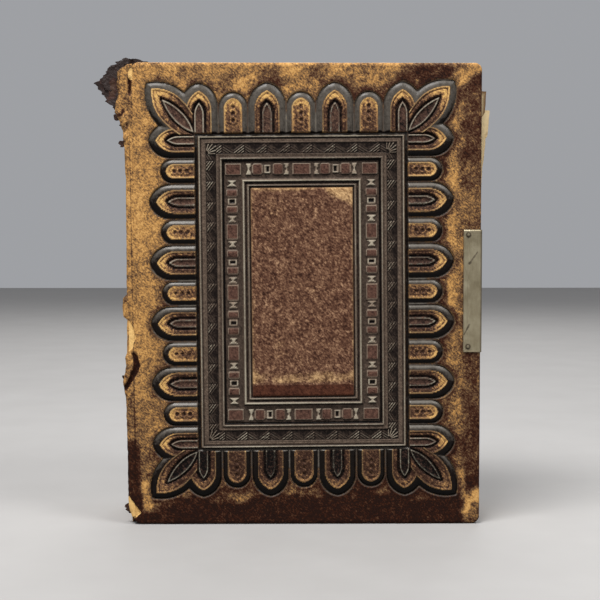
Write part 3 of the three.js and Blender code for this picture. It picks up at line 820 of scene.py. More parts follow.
def paint_tone(u, v, halo, beside, side):
    """How dark the plain leather is: 0 golden, 0.25 tan, 0.5 brown, 0.8 maroon, 1 black."""
    broad, small = noise(u, v, 30, 11 + side), noise(u, v, 8, 14 + side)
    tone = 0.28 + 0.10 * broad + 0.10 * small
    # along the top
    tone = tone - 0.11 * smooth(u, -60, -30) * (1 - smooth(u, 20, 60)) * smooth(v, 130, 140)
    tone = tone - 0.16 * smooth(u, 30, 60) * smooth(v, 128, 140) + 0.05 * smooth(v, 60, 140)
    top = smooth(v, 132, 146) * (1 - smooth(v, 152, 158))
    tone = tone + 0.24 * top * smooth(u, -96, -30) * (0.75 + small)
    tone = tone + 0.05 * smooth(u, 40, 80) * smooth(v, 120, 140)
    # darker towards the right and downwards
    tone = tone + 0.16 * smooth(u, -30, 70) - 0.11 * smooth(u, 90, 110)
    tone = tone + 0.24 * smooth(-v, 10, 110) * (1 - smooth(u, -104, -90))
    outer_right = smooth(u + 4 * small, 107, 113)
    tone = tone + 0.10 * smooth(u, 85, 100) + 0.10 * outer_right + 0.12 * outer_right * smooth(-v, -20, 60)
    tone = tone + 0.14 * smooth(u, 90, 104) * smooth(-v, 40, 110)
    tone = tone + 0.05 * smooth(u + 2 * small, 106, 109.5) * smooth(v, -90, -60) * (v < 120)
    # along the bottom
    tone = tone + 0.50 * smooth(-v + 7 * small, 138, 147) * smooth(u, -106, -96)
    tone = tone + 0.12 * smooth(-v, 128, 140) + 0.22 * smooth(-v, 118, 136) * smooth(u, -104, -90)
    for place in (-30, 22, 68):
        tone = tone - 0.3 * streak(u, v, place, -141, place + 5, -143, 5) * (0.7 + small)
    for *line, strength in PAINTED:
        tone = tone + strength * streak(u, v, *line)
    # painted shade round the petals, darkest in the narrow valleys between them near the frame
    tone = tone + halo * (0.12 + 0.2 * smooth(broad, -0.4, 0.5) + 0.14 * smooth(u, -80, 60))
    tone = tone + 0.75 * (1 - smooth(beside, 17, 25)) * smooth(halo, 0.2, 0.7)
    return np.clip(tone, 0.02, 1)


def hinge_damage(s, z):
    """Depth of tears and masks of bare board near the front cover's hinge edge, s in from it."""
    slit_at = np.interp(z, [94, 102, 111, 119], [-2.4, 2.4, 5.8, 4.0])
    slit = bump(s, slit_at, 2.1) * between(z, 94, 119, 2) + bump(s, 2.0, 1.3) * between(z, 296, 307, 2)
    ragged = 0.5 * noise(s, z, 2.5, 77)
    corner_edge = np.interp(z, [2, 4.5, 9, 20], [0, 4.0, 7.2, 0])
    strip_edge = np.interp(z, [119, 123, 131, 138, 143], [0, 3.5, 5.6, 3.2, 0])
    bare = smooth(corner_edge - s + ragged, 0, 0.5) * (corner_edge > 0.3)
    bare = bare + smooth(strip_edge - s + ragged, 0, 0.5) * smooth(s, 0.3, 0.9) * (strip_edge > 0.3)
    bare = bare + smooth(1 - np.hypot((s - 3.2) / 2.6, (z - 310) / 4.6) + 0.3 * ragged, 0, 0.25)
    crease_at = np.interp(z, [0, 60, 263], [4.0, 4.2, 1.9])
    crease = bump(s, crease_at, 0.5) * between(z, 24, 264, 4) * (0.6 + 0.4 * noise(z, s, 12, 78))
    return slit, np.clip(bare, 0, 1), crease


def bend_of(height, spacing_x, spacing_z):
    """How sharply the relief curves, over 0 in hollows and under 0 on crests."""
    bend = np.gradient(np.gradient(height, axis=1) / spacing_x, axis=1) / spacing_x
    return bend + np.gradient(np.gradient(height, axis=0) / spacing_z, axis=0) / spacing_z


def cover_wear(u, v, layers, height, edge, spacing_x, spacing_z, seed):
    """How far the ornament's crests and the cover's edges are rubbed down to pale leather."""
    convex = np.clip(-bend_of(height, spacing_x, spacing_z) * 0.4, 0, 1)
    convex = convex * layers["ornament"] * (1 - layers["roll"])
    x, z = u + DESIGN_X, v + DESIGN_Z
    patchy = 0.62 + 0.38 * noise(x, z, 30, seed + 3)
    lower = smooth(-v, 60, 130)
    wear = layers["ridge"] * patchy * (1 - 0.35 * lower * (np.abs(v) > FRAME_Z)) + 0.25 * convex
    at_edge = smooth(-edge, -1.4, -0.1) * (0.4 + 0.6 * noise(x, z, 14, seed + 4)) * (1 - lower)
    return wear + 0.55 * at_edge


def panel_rub(u, v, seed):
    """The centre panel: over 0 where it is rubbed pale, under 0 in the dark stain along its bottom."""
    edge = np.minimum(DETAIL_FROM - np.abs(u), DETAIL_FROM + FRAME_Z - FRAME_X - np.abs(v))
    rub = 0.6 * smooth(-edge, -3.5, 0) * (0.6 + 0.6 * noise(u, v, 14, seed + 5))
    rub = rub + 0.6 * streak(u, v, 24, 71, 38, 66, 10)
    rub = rub + 0.62 * bump(v, -59.5, 6) * (0.75 + 0.7 * noise(u, v, 8, seed + 6))
    stain = smooth(-v + noise(u, v, 6, seed + 9), 61.5, 66)
    return rub + 0.3 * noise(u, v, 20, seed + 7) - 1.2 * stain


def cover_tone(u, v, layers, facing_down, side, seed):
    """How dark the whole cover is: plain leather, ornament and its rolled rims."""
    lower = smooth(-v, 60, 130)
    darker = 0.10 * smooth(u, -40, 90) + 0.42 * lower * (np.abs(v) > FRAME_Z)
    darker = darker + 0.08 * noise(u, v, 14, seed + 8)
    inner = layers["tone"] + darker * np.maximum(layers["band"], layers["core"])
    # painted shadow: every downward-facing slope of the ornament is darkened
    inner = inner + 0.4 * smooth(facing_down, 0.3, 1.2)
    # the rolled rims carry painted light and shade: their upward-facing sides are painted pale grey as the
    # light's sheen on them and their downward-facing sides black as shade, with the pale part spread over the
    # flanks in the top rows and the rims darker in the bottom rows
    upper = smooth(v, 90, 120)
    rim = 0.10 + (0.30 + 0.34 * upper) * smooth(-facing_down, -0.7, 0.0) - 0.12 * smooth(-v, 100, 130)
    rim = rim + (0.60 - 0.55 * upper) * smooth(-facing_down, -0.1, 0.8)
    rim = rim * (1 - layers["gap"]) + 1.1 * layers["gap"]
    inner = inner * (1 - layers["roll"]) + rim * layers["roll"]
    plain = paint_tone(u, v, layers["halo"], layers["beside"], side)
    return plain * (1 - layers["ornament"]) + inner * layers["ornament"]


def turned_edge(xs, zs, loop, side, first):
    """Rings of points from the cover's rim round the board and in behind it, and their faces."""
    grid_x, grid_z = np.meshgrid(xs, zs, indexing="xy")
    edge_x, edge_z = grid_x.ravel()[loop], grid_z.ravel()[loop]
    points = []
    for inset, depth in TURNED_EDGE:
        px = np.clip(edge_x, HINGE_X + inset, FORE_X - inset)
        pz = np.clip(edge_z, inset, HEIGHT - inset)
        px, pz = rounded(px, pz, side)
        points.append(np.stack([px, np.full(px.shape, PLAIN_Y[side] - side * depth), pz], -1))
    points.append([[(HINGE_X + FORE_X) / 2, PLAIN_Y[side] - side * TURNED_EDGE[-1][1], HEIGHT / 2]])
    count = len(loop)
    ring_index = [loop] + [np.arange(count) + first + k * count for k in range(len(TURNED_EDGE))]
    faces = [np.stack([np.roll(a, -1), a, b, np.roll(b, -1)], -1) for a, b in zip(ring_index, ring_index[1:])]
    last = ring_index[-1]
    middle = first + count * len(TURNED_EDGE)
    faces.append(np.stack([np.roll(last, -1), last, np.full(count, middle)], -1))
    return np.concatenate(points), faces


def make_cover(name, side, step):
    """The embossed leather of a cover: a fine grid over its face, and the turned edge behind it."""
    xs, zs = cover_lines(step, EDGE_STEP)
    x, z = np.meshgrid(xs, zs, indexing="xy")
    height, layers, u, v = relief(x, z)
    edge = np.minimum(np.minimum(3 * (x - HINGE_X), FORE_X - x), np.minimum(z, HEIGHT - z))
    inset = np.clip(EDGE_ROUND - edge, 0, EDGE_ROUND)
    drop = EDGE_ROUND - np.sqrt(np.maximum(EDGE_ROUND**2 - inset**2, 0))
    seed = 40 + side
    plain = 1 - layers["ornament"]
    swell = 0.16 * noise(x, z, 38, seed) + 0.05 * noise(x, z, 9, seed + 1)
    height = height + swell * (0.35 + 0.65 * plain) + 0.035 * noise(x, z, 2.2, seed + 2, 2) * (0.5 + plain)
    spacing_x, spacing_z = np.gradient(xs), np.gradient(zs)[:, None]
    wear = cover_wear(u, v, layers, height, edge, spacing_x, spacing_z, seed)
    rub = panel_rub(u, v, seed)
    tone = cover_tone(u, v, layers, np.gradient(height, axis=0) / spacing_z, side, seed)
    bare = np.zeros(x.shape)
    if side == FRONT:
        slit, bare, crease = hinge_damage(x - HINGE_X + PROUD, z)
        height = height - 2.0 * slit - 0.9 * bare - 0.35 * crease
        # the tears are painted dark as the shade inside them; the crease is darker too
        tone = np.clip(tone + 1.2 * slit + 0.45 * crease, 0, 1)
        wear = wear * (1 - np.clip(slit + bare, 0, 1))

    x, z = rounded(x, z, side)
    y = PLAIN_Y[side] + side * (height - drop)
    held = smooth(edge, 0.5, 11)
    x, z = x - STAMP_TURN * v * held, z + STAMP_TURN * u * held
    face = np.stack([x, y, z], -1).reshape(-1, 3)
    rows, columns = x.shape
    loop = border(rows, columns)
    edge_points, edge_faces = turned_edge(xs, zs, loop, side, len(face))

    extra = len(edge_points)
    pad = lambda values, fill=0.0: np.concatenate([np.ravel(values), np.full(extra, fill)])
    tone_all = pad(tone, 0.7)
    sides = slice(len(face), len(face) + SIDE_RINGS * len(loop))
    tone_all[sides] = np.tile(tone.ravel()[loop], SIDE_RINGS) + 0.1
    zone_a = np.stack([pad(layers[k]) for k in ("band", "core", "panel", "ornament")], -1)
    zone_b = np.stack([pad(layers[k]) for k in ("roll", "frame", "bead", "ornament")], -1)
    values = {"tone": tone_all, "wear": pad(wear, 0.1), "rub": pad(rub), "bare": pad(bare)}
    return put(f"{name}_cover_leather_skin", np.concatenate([face, edge_points]),
               [grid_faces(rows, columns), *edge_faces], values, {"zone_a": zone_a, "zone_b": zone_b})


# ---- Spine and joints ----
HALF_THICKNESS = (PLAIN_Y[BACK] - PLAIN_Y[FRONT]) / 2
SPINE_SAGITTA = 4.0
SPINE_LEATHER = 1.5
BAND_LIFT = 1.5
SPINE_RADIUS = (HALF_THICKNESS**2 + SPINE_SAGITTA**2) / (2 * SPINE_SAGITTA)
SPINE_CENTRE_X = HINGE_X - SPINE_SAGITTA - 0.3 + SPINE_RADIUS
SPINE_HALF = 34.0  # half width of the leather between the joints


def band_profile(z, width=2.9, slope=2.0):
    return sum(1 - smooth(np.abs(z - place), width, width + slope) for place in BAND_Z)


def spine_surface(across, z, inwards):
    """A point of the spine at a distance across it from the middle, on or under its surface."""
    radius = SPINE_RADIUS - inwards + BAND_LIFT * band_profile(z)
    angle = np.arcsin(across / SPINE_RADIUS)
    return np.stack([SPINE_CENTRE_X - radius * np.cos(angle), MIDDLE_Y + radius * np.sin(angle), z], -1)


def make_spine_leather():
    """The leather over the back, tooled between its raised bands and torn away at the head."""
    rows = graded([0, TORN_Z - 1], [0.9])
    across, z = np.meshgrid(np.linspace(-SPINE_HALF, SPINE_HALF, 90), rows, indexing="xy")
    ragged = 4.5 * noise_along(across, 9, 61) + 2.5 * noise_along(across, 2.6, 62, 2)
    torn_z = z + smooth(z, TORN_Z - 7, TORN_Z - 1) * (ragged - 3 * smooth(np.abs(across), 20, 34))
    lift = 0.35 * noise(across, z, 24, 63) + 0.12 * noise(across, z, 6, 64)
    lines = np.zeros(z.shape)
    for low, high in zip([-6.0, *BAND_Z], [*BAND_Z, 260.0]):
        inside = np.minimum(np.minimum(z - low, high - z) - 7.5, 27 - np.abs(across))
        lines = lines + bump(inside, 0, 0.55) + 0.8 * bump(inside, 2.2, 0.5)
        centre = np.hypot(across / 13, (z - (low + high) / 2) / 11)
        petals = 1 + 0.28 * np.cos(8 * np.arctan2(z - (low + high) / 2, across))
        lines = lines + 0.8 * bump(centre * petals, 0.8, 0.07) + 0.6 * bump(centre, 0.3, 0.06)
    curl = 1.6 * smooth(z, TORN_Z - 6, TORN_Z) * (0.4 + noise(across, z, 12, 65))
    outer = spine_surface(across, torn_z, -lift + 0.35 * np.clip(lines, 0, 1) - curl)
    inner = spine_surface(across, torn_z, SPINE_LEATHER - 0.2 - curl - np.minimum(lift, 0.2))
    points, faces = slab(outer, inner)
    on_band = band_profile(z, 2.2, 1.4)
    tone = 0.34 + 0.12 * noise(across, z, 20, 66) + 0.25 * lines
    tone = tone + 0.22 * band_profile(z, 3.6, 2.2) * (1 - on_band)
    wear = 0.55 * on_band * (0.6 + 0.5 * noise(across, z, 15, 67)) + 0.45 * smooth(np.abs(across), 26, 34)
    torn = smooth(z, TORN_Z - 2.5, TORN_Z - 1)
    values = {"tone": on_both(tone, 0.8), "wear": on_both(wear, 0), "bare": on_both(torn * 0.8, 0.9)}
    piece = put("spine_leather_skin", points, faces, values)
    return finish_piece(piece, worn_leather, "text_block", ["spine_leather"])


# How far the leather stands out past the front board's hinge edge, by height: torn here and there.
JOINT_OUTLINE = [(5, 0.2), (9, 0.4), (24, 0.8), (60, 1.3), (88, 1.9), (94, 3.2), (99, 3.8), (104, 2.8),
                 (110, 1.6), (116, 2.3), (119, 1.0), (142, 0.7), (144, 3.2), (151, 3.9), (157, 3.4),
                 (159.5, 0.9), (240, 1.1), (246, 1.6), (262, 2.0), (266, 2.6), (272, 3.2), (279, 5.2),
                 (284, 8.2), (290, 7.8), (296, 6.4), (306, 6.7), (314, 6.3), (317, 6.0)]
JOINT_FOLD = 2.0  # depth at which the joint leather folds over the board's edge


def make_joint(name, side):
    """The strip of leather that bends between the spine and a cover, round the cover's hinge edge."""
    low = 5.2 if side == FRONT else 0.6
    share, z = np.meshgrid(np.linspace(0, 1, 40), graded([low, HEIGHT - 1.2], [0.7]), indexing="xy")
    heights, widths = zip(*JOINT_OUTLINE)
    torn = np.interp(z, heights, widths) if side == FRONT else 1.0 + 1.6 * smooth(z, 262, 270)
    torn = torn + (0.15 + 0.55 * (z > 262)) * noise_along(z, 2.4, 81 + side, 2)
    torn = np.maximum(torn, 0.15) + PROUD * (0.4 + 0.6 * smooth(z, 4, 14))
    plane = PLAIN_Y[side]
    end_s = np.interp(z, [0, 60, 263, 300], [1.4, 1.3, 1.0, 1.0]) if side == FRONT else 1.2 + 0 * z
    above = smooth(z, TORN_Z - 3, TORN_Z + 3)  # over the tear the strip only clings to the cover
    back_x = SPINE_CENTRE_X - np.sqrt((SPINE_RADIUS - 0.2) ** 2 - SPINE_HALF**2)
    start_x = back_x * (1 - above) + (HINGE_X - torn * 0.8) * above
    start_y = (MIDDLE_Y + side * SPINE_HALF) * (1 - above)
    start_y = start_y + (plane - side * (5.0 + noise_along(z, 5, 84))) * above
    # up the side of the board, round its edge, and flat on the cover
    up = np.clip(share / 0.5, 0, 1)
    over = np.clip((share - 0.5) / 0.25, 0, 1) * math.pi / 2
    flat = np.clip((share - 0.75) / 0.25, 0, 1)
    x = start_x + (HINGE_X - torn - start_x) * np.sin(up * math.pi / 2)
    turn_in = np.minimum(torn, 2.4)
    x = x + turn_in * (1 - np.cos(over)) + (end_s + torn - turn_in) * flat
    y = start_y + (plane - side * JOINT_FOLD - start_y) * up + side * JOINT_FOLD * np.sin(over)
    y = y + side * 0.14 * (1 - smooth(share, 0.96, 1.0)) * smooth(share, 0.5, 0.75)
    s = x - HINGE_X
    slit, bare, crease = hinge_damage(s + PROUD, z)
    if side == BACK:
        slit, bare, crease = 0 * slit, 0 * bare, 0 * crease
    in_front = smooth(share, 0.45, 0.6)
    crumple = between(z, 264, 283, 3) * smooth(share, 0.3, 0.6) * (1 - smooth(share, 0.9, 1.0))
    y = y - side * (2.2 * slit + 0.5 * bare + 0.3 * crease) * in_front
    y = y + side * (crumple * (0.9 * noise(x, z, 2.6, 89) + 0.5) + 0.16 * noise(x, z, 7, 85) * in_front)
    x = x - 0.25 * noise(share * 12, z, 5, 85 + side) * np.sin(share * math.pi) ** 2 * (share < 0.6)
    top = 312.2 + 4.2 * smooth(s, -9, -1) + 1.2 * noise_along(s, 2.2, 90)
    z2 = np.where(z > 300, 300 + (z - 300) * (np.minimum(top, HEIGHT - 0.5) - 300) / (HEIGHT - 301.2), z)
    outer = np.stack([x, y, z2], -1)
    turn = smooth(share, 0.45, 0.75)
    inner = np.stack([x + 0.7 * (1 - turn), y - side * 0.7 * turn, z2], -1)
    points, faces = slab(outer, inner)
    u, v = x - DESIGN_X, z - DESIGN_Z
    tone = paint_tone(u, v, 0 * u, 30 + 0 * u, side)
    tone = tone + 0.3 * between(z, 155, 159.5, 1.2) * smooth(-s, 3, 5) + 0.4 * crease
    mottled = 0.16 * noise(x, z, 4.5, 93) + 0.1 * noise(x, z, 1.6, 94)
    tone = np.clip(tone + mottled + 0.14 * smooth(z, 262, 275) - 0.1 * crumple, 0, 1)
    # painted shade inside the tears
    tone = tone + 1.2 * slit * in_front
    ragged = 0.5 * smooth(noise(x, z, 3.0, 88), 0.2, 0.6) * between(z, 262, 300, 5) * smooth(-s, 0, 4)
    wear = 0.35 * crumple * smooth(noise(x, z, 3, 91), -0.2, 0.5)
    wear = wear + 0.2 * (1 - smooth(np.abs(share - 0.6), 0, 0.1)) * (z > 60)
    values = {"tone": on_both(np.clip(tone + ragged, 0, 1), 0.95), "wear": on_both(wear * (1 - slit), 0),
              "bare": on_both(bare * in_front, 0)}
    piece = put(f"{name}_joint_leather", points, faces, values)
    finish_piece(piece, leather, None)
    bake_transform(piece)


def ragged_sheet(top, low, left, right, depth, thickness, seed, rows=90, columns=46, fray=1.0):
    """A torn sheet between two ragged side edges given by height, seen from the front."""
    t, c = np.meshgrid(np.linspace(0, 1, rows), np.linspace(0, 1, columns), indexing="ij")
    z = low + (top - low) * t
    frayed = 1.5 * noise_along(z, 3.0, seed) + 1.8 * noise_along(z, 1.3, seed + 1, 2)
    xl = np.interp(z, *zip(*left)) - fray * frayed
    xl = xl - PROUD * smooth(-xl, 0, 3)
    xr = np.interp(z, *zip(*right)) + 0.3 * fray * noise_along(z, 4, seed + 2)
    x = xr + (np.minimum(xl, xr - 0.4) - xr) * c
    frayed = 0.8 * noise_along(x, 2.4, seed + 3) + 0.6 * noise_along(x, 0.9, seed + 6, 2)
    z = z + fray * frayed * smooth(np.abs(t - 0.5), 0.3, 0.5)
    ruffle = 0.7 * noise(x, z, 7, seed + 4) + 0.35 * noise(x, z, 2.5, seed + 5)
    y = depth(x, z) + ruffle
    thick = thickness * (1 - 0.55 * smooth(c, 0.85, 1.0))
    outer = np.stack([HINGE_X + x, y, z], -1)
    inner = np.stack([HINGE_X + x, y + thick, z], -1)
    return slab(outer, inner), x, z


# side edges of the torn sheets by height, out from the hinge edge
FLAP_LEFT = ((285, -7.4), (288, -9.5), (292, -14), (298, -17), (302.5, -21), (304.6, -23.2), (306, -19),
             (308, -15.2), (311, -13.5), (314, -10.5), (317, -8.5))
FLAP_RIGHT = ((285, -5), (317, -5))
FRINGE_LEFT = ((299, -15), (304, -18), (307, -17), (310, -14.5), (313.5, -12), (316, -9.5), (318.3, -7.5),
               (319.6, -4.5), (320.8, -1.5))
FRINGE_RIGHT = ((299, 6), (317, 11.5), (319, 11), (320, 8), (320.8, 2.5))
# the frayed tags' heights, how far they reach out, and their sizes
TAGS = ((281, 9.6, 4.2), (275.5, 7.2, 2.4), (263, 6.2, 4.4), (102, 5.2, 2.6), (11, 2.6, 8.0))


def make_torn_flap():
    """The spine's torn head: its dark inner side, splayed out."""
    splay = lambda x, z: PLAIN_Y[FRONT] + 3.4 + 0.06 * np.clip(-x - 8, 0, 30) ** 1.35
    (points, faces), x, z = ragged_sheet(317, 285.6, FLAP_LEFT, FLAP_RIGHT, splay, 1.1, 101, fray=1.3)
    olive = bump(x, -13, 3.5) * between(z, 293, 307, 3)
    tone = 1.05 - 0.3 * olive + 0.14 * noise(x, z, 4, 108)
    values = {"tone": on_both(tone, tone), "wear": on_both(-0.4 + 0 * x, -0.4),
              "bare": on_both(0.1 + 0.35 * olive, 0.1 + 0.35 * olive)}
    flap = put("torn_head_flap_skin", points, faces, values)
    finish_piece(flap, worn_leather, "text_block", ["torn_head_flap"])


def make_head_fringe():
    """Ragged lining over the top of the front board."""
    front = PLAIN_Y[FRONT]
    behind = front + COVER_DEPTH + 0.8
    crest = lambda x, z: front + 4.2 + (behind - front - 4.2) * smooth(x, -1.6, 0.2)
    (points, faces), x, z = ragged_sheet(320.8, 299, FRINGE_LEFT, FRINGE_RIGHT, crest, 1.3, 121,
                                         columns=110, fray=1.15)
    tone = 1.1 + 0.1 * noise(x, z, 3, 128)
    values = {"tone": on_both(tone, tone), "wear": on_both(-0.5 + 0 * x, -0.5), "bare": on_both(0 * x, 0)}
    fringe = put("head_lining_fringe", points, faces, values)
    finish_piece(fringe, worn_leather, "text_block")


def make_frayed_tags():
    """Small rags of leather along the front joint."""
    tags = []
    level = lambda x, z: PLAIN_Y[FRONT] + 5.4 + 0 * x
    for k, (z0, reach, size) in enumerate(TAGS):
        low, high = z0 - size / 2, z0 + size / 2
        left = [(low, 1.2 - reach), (z0, -reach), (high, 0.8 - reach)]
        right = [(z0 - size, 0.0), (z0 + size, 0.0)]
        rag, _, _ = ragged_sheet(high, low, left, right, level, 0.9, 141 + 7 * k, 14, 16, 0.7)
        tags.append(rag)
    points, faces = joined(tags)
    shade = 0.9 + 0 * points[:, 0]
    piece = put("joint_frayed_tags", points, faces, {"tone": shade, "wear": shade - 1.4, "bare": shade * 0.4})
    finish_piece(piece, worn_leather, "text_block")


# ---- Text block ----
BLOCK_LOW = np.min([box_mm(f"gathering_{i:02d}")[0] for i in range(1, 13)], axis=0)
BLOCK_HIGH = np.max([box_mm(f"gathering_{i:02d}")[1] for i in range(1, 13)], axis=0)
BLOCK_SAGITTA = 3.0
BLOCK_MIDDLE = (BLOCK_LOW[1] + BLOCK_HIGH[1]) / 2
BLOCK_HALF = (BLOCK_HIGH[1] - BLOCK_LOW[1]) / 2
BLOCK_RADIUS = (BLOCK_HALF**2 + BLOCK_SAGITTA**2) / (2 * BLOCK_SAGITTA)
BLOCK_CENTRE_X = BLOCK_LOW[0] + BLOCK_RADIUS
PAGE_WIDTH = BLOCK_HIGH[0] - BLOCK_LOW[0] - BLOCK_SAGITTA
SECTIONS = 9  # leaves shown in each gathering, each standing for a few


def block_back(y):
    return BLOCK_CENTRE_X - np.sqrt(BLOCK_RADIUS**2 - (y - BLOCK_MIDDLE) ** 2)


def block_arc(across, z, out):
    """A point over the back of the text block, out from its surface."""
    angle = np.arcsin(across / BLOCK_RADIUS)
    radius = BLOCK_RADIUS + out
    return np.stack([BLOCK_CENTRE_X - radius * np.cos(angle), BLOCK_MIDDLE + radius * np.sin(angle), z], -1)


def paper_edge_material():
    """Aged paper: cream faces, and edges striped leaf by leaf, darker where light and dust reached."""
    g = Graph("page_paper")
    edge = g.attribute("edge")
    leaves = g.noise(0.32, 3, 0.7, (0.02, 1, 0.02))
    sheets = g.noise(1.6, 2, 0.6, (0.01, 1, 0.012))
    stain = g.noise(42, 4, 0.6)
    spots = g.noise(3.2, 3, 0.6)
    aged = g.total(0.5, (stain, 0.8), (g.noise(0.7, 2), 0.15))
    paper = g.ramp(aged, (0.2, srgb(206, 178, 128)), (0.8, srgb(233, 213, 170)))
    foxing = g.spread(g.total(spots, (stain, 0.5)), 0.24, 0.42, 0.0, 0.5)
    paper = g.mix(foxing, paper, srgb(158, 112, 62))
    striped = g.ramp(g.total(0.5, (leaves, 1.3), (sheets, 0.9), (stain, 0.6)), (0.15, srgb(96, 68, 38)),
                     (0.45, srgb(168, 130, 80)), (0.8, srgb(216, 184, 130)))
    colour = g.mix(g.spread(edge, 0.25, 1.0), paper, striped)
    colour = g.mix(g.spread(g.attribute("tone"), 0.1, 1.0), colour, srgb(112, 80, 46))
    height = g.total((g.times(leaves, edge), 1.5), (g.noise(0.5, 2), 0.25))
    return g.finish(Base_Color=colour, Roughness=g.total(0.85, (stain, 0.2)),
                    Normal=g.bump(height, 0.12, 0.7))


def endpaper_material():
    g = Graph("endpaper")
    edge = g.attribute("edge")
    stain, spots, fibre = g.noise(55, 4, 0.6), g.noise(4.5, 4, 0.62), g.noise(0.5, 3, 0.6, (1, 1, 0.5))
    aged = g.total(0.5, (stain, 0.9), (fibre, 0.25))
    base = g.ramp(aged, (0.15, srgb(198, 166, 112)), (0.85, srgb(234, 216, 176)))
    burnt = g.spread(g.total(edge, (stain, 0.8), (spots, 0.3)), 0.25, 1.1, 0.0, 0.8)
    colour = g.mix(burnt, base, srgb(150, 104, 58))
    foxing = g.spread(g.total(spots, (stain, 0.4)), 0.25, 0.4, 0.0, 0.55)
    colour = g.mix(foxing, colour, srgb(146, 98, 54))
    return g.finish(Base_Color=colour, Roughness=g.total(0.88, (stain, 0.15)), Normal=g.bump(fibre, 0.1, 0.6))


def leaf_outline(x0, x1, z0, z1, seed, ragged=0.35, step=2.6):
    """The worn outline of a leaf, as a loop of points, uneven along its three free edges."""
    along_x, along_z = graded([x0, x1], [step * 3]), graded([z0, z1], [step])
    loop = [(x, z0) for x in along_x[:-1]] + [(x1, z) for z in along_z[:-1]]
    loop += [(x, z1) for x in along_x[:0:-1]] + [(x0, z) for z in along_z[:0:-1]]
    loop = np.array(loop)
    middle = np.array([(x0 + x1) / 2, (z0 + z1) / 2])
    x, z = loop.T.copy()
    offset = ragged * (noise(x + z, z, 26, seed) + 0.5 * noise(x, z, 5, seed + 1))
    at_fore, at_end = x >= x1 - 1e-6, (z >= z1 - 1e-6) | (z <= z0 + 1e-6)
    loop[:, 0] += np.sign(x - middle[0]) * at_fore * offset
    # the bound edge, at x0, stays straight
    loop[:, 1] += np.sign(z - middle[1]) * at_end * offset * 0.6 * (1 - smooth(loop[:, 0], x0 + 4, x0))
    return loop


def paper_stack(loop, y0, y1):
    """A closed thin block of leaves: an outline between two depths, with an inner ring on its faces."""
    middle = loop.mean(0)
    inner = middle + (loop - middle) * 0.965
    thin = min(0.06, (y1 - y0) * 0.2)
    levels = [(inner, y0), (loop, y0 + thin), (loop, y1 - thin), (inner, y1)]
    loops = [np.stack([r[:, 0], np.full(len(r), y), r[:, 1]], -1) for r, y in levels]
    points, faces = rings(loops)
    edge = np.concatenate([np.zeros(len(loop)), np.ones(2 * len(loop)), np.zeros(len(loop)), [0, 0]])
    return points, faces, edge


def make_gatherings():
    for number in range(1, 13):
        node = f"gathering_{number:02d}"
        low, high = box_mm(node)
        parts, edges = [], []
        pitch = (high[1] - low[1]) / SECTIONS
        random = np.random.default_rng(700 + number)
        slip = random.normal(0, 0.35)
        for k in range(SECTIONS):
            y0, y1 = low[1] + k * pitch, low[1] + (k + 1) * pitch - 0.05
            fold = 0.5 * (1 - abs((k + 0.5) / SECTIONS * 2 - 1))
            back = block_back((y0 + y1) / 2) + 0.4 * (1 - 2 * fold)
            fore = block_back((y0 + y1) / 2) + PAGE_WIDTH + slip + random.normal(0, 0.16) - fold * 0.5
            trim = random.normal(0, 0.13, 2)
            tail, top = low[2] + 0.3 + trim[0], high[2] - 0.3 + trim[1]
            loop = leaf_outline(back, fore, tail, top, 900 + number * 20 + k)
            points, faces, edge = paper_stack(loop, y0, y1)
            parts.append((points, faces))
            edges.append(edge)
        points, faces = joined(parts)
        edge = np.concatenate(edges)
        piece = put(f"{node}_leaves", points, faces, {"edge": edge, "tone": 0 * edge}, smooth_faces=False)
        finish_piece(piece, page_paper, "text_block", [node])


LOOSE_SIZE = (222, 285.0)  # the slipped leaves' width and height
LOOSE_TILT = 3.9  # degrees
LOOSE_CORNER_Z = 286.5  # height of their upper fore-edge corner
LOOSE_SHEETS = 6


def make_loose_gathering():
    """Leaves that have slipped up and out at the fore edge, chipped below their upper corner."""
    low, high = box_mm("loose_gathering")
    tilt = math.radians(LOOSE_TILT)
    corner = np.array([high[0], LOOSE_CORNER_Z])
    parts, edges, tones = [], [], []
    pitch = (high[1] - low[1]) / LOOSE_SHEETS
    random = np.random.default_rng(5)
    for k in range(LOOSE_SHEETS):
        width, height = LOOSE_SIZE[0] + random.normal(0, 0.8), LOOSE_SIZE[1]
        dark = 1.0 if k == 0 else 0.0
        loop = leaf_outline(-width, 0, -height, 0, 1500 + 9 * k, 0.6, 1.6)
        at_fore = smooth(loop[:, 0], -14, -1)
        below = smooth(-loop[:, 1], 13.0 + k, 15.5 + k)
        if dark:
            loop[:, 0] -= at_fore * (3.2 + 2.2 * smooth(-loop[:, 1], 14, 20))
            loop[:, 1] += 13.0 * smooth(loop[:, 0], -200, -4)
        else:
            loop[:, 0] -= at_fore * below * (2.2 + 0.8 * noise_along(loop[:, 1], 24, 1600 + k))
        turned = np.stack([loop[:, 0] * math.cos(tilt) + loop[:, 1] * math.sin(tilt),
                           -loop[:, 0] * math.sin(tilt) + loop[:, 1] * math.cos(tilt)], -1) + corner
        y0 = low[1] + k * pitch
        points, faces, edge = paper_stack(turned, y0, y0 + pitch - 0.05)
        parts.append((points, faces))
        edges.append(edge * 0.55)
        tones.append(edge * dark)
    points, faces = joined(parts)
    values = {"edge": np.concatenate(edges), "tone": np.concatenate(tones)}
    piece = put("loose_gathering_leaves", points, faces, values, smooth_faces=False)
    finish_piece(piece, page_paper, "text_block", ["loose_gathering"])


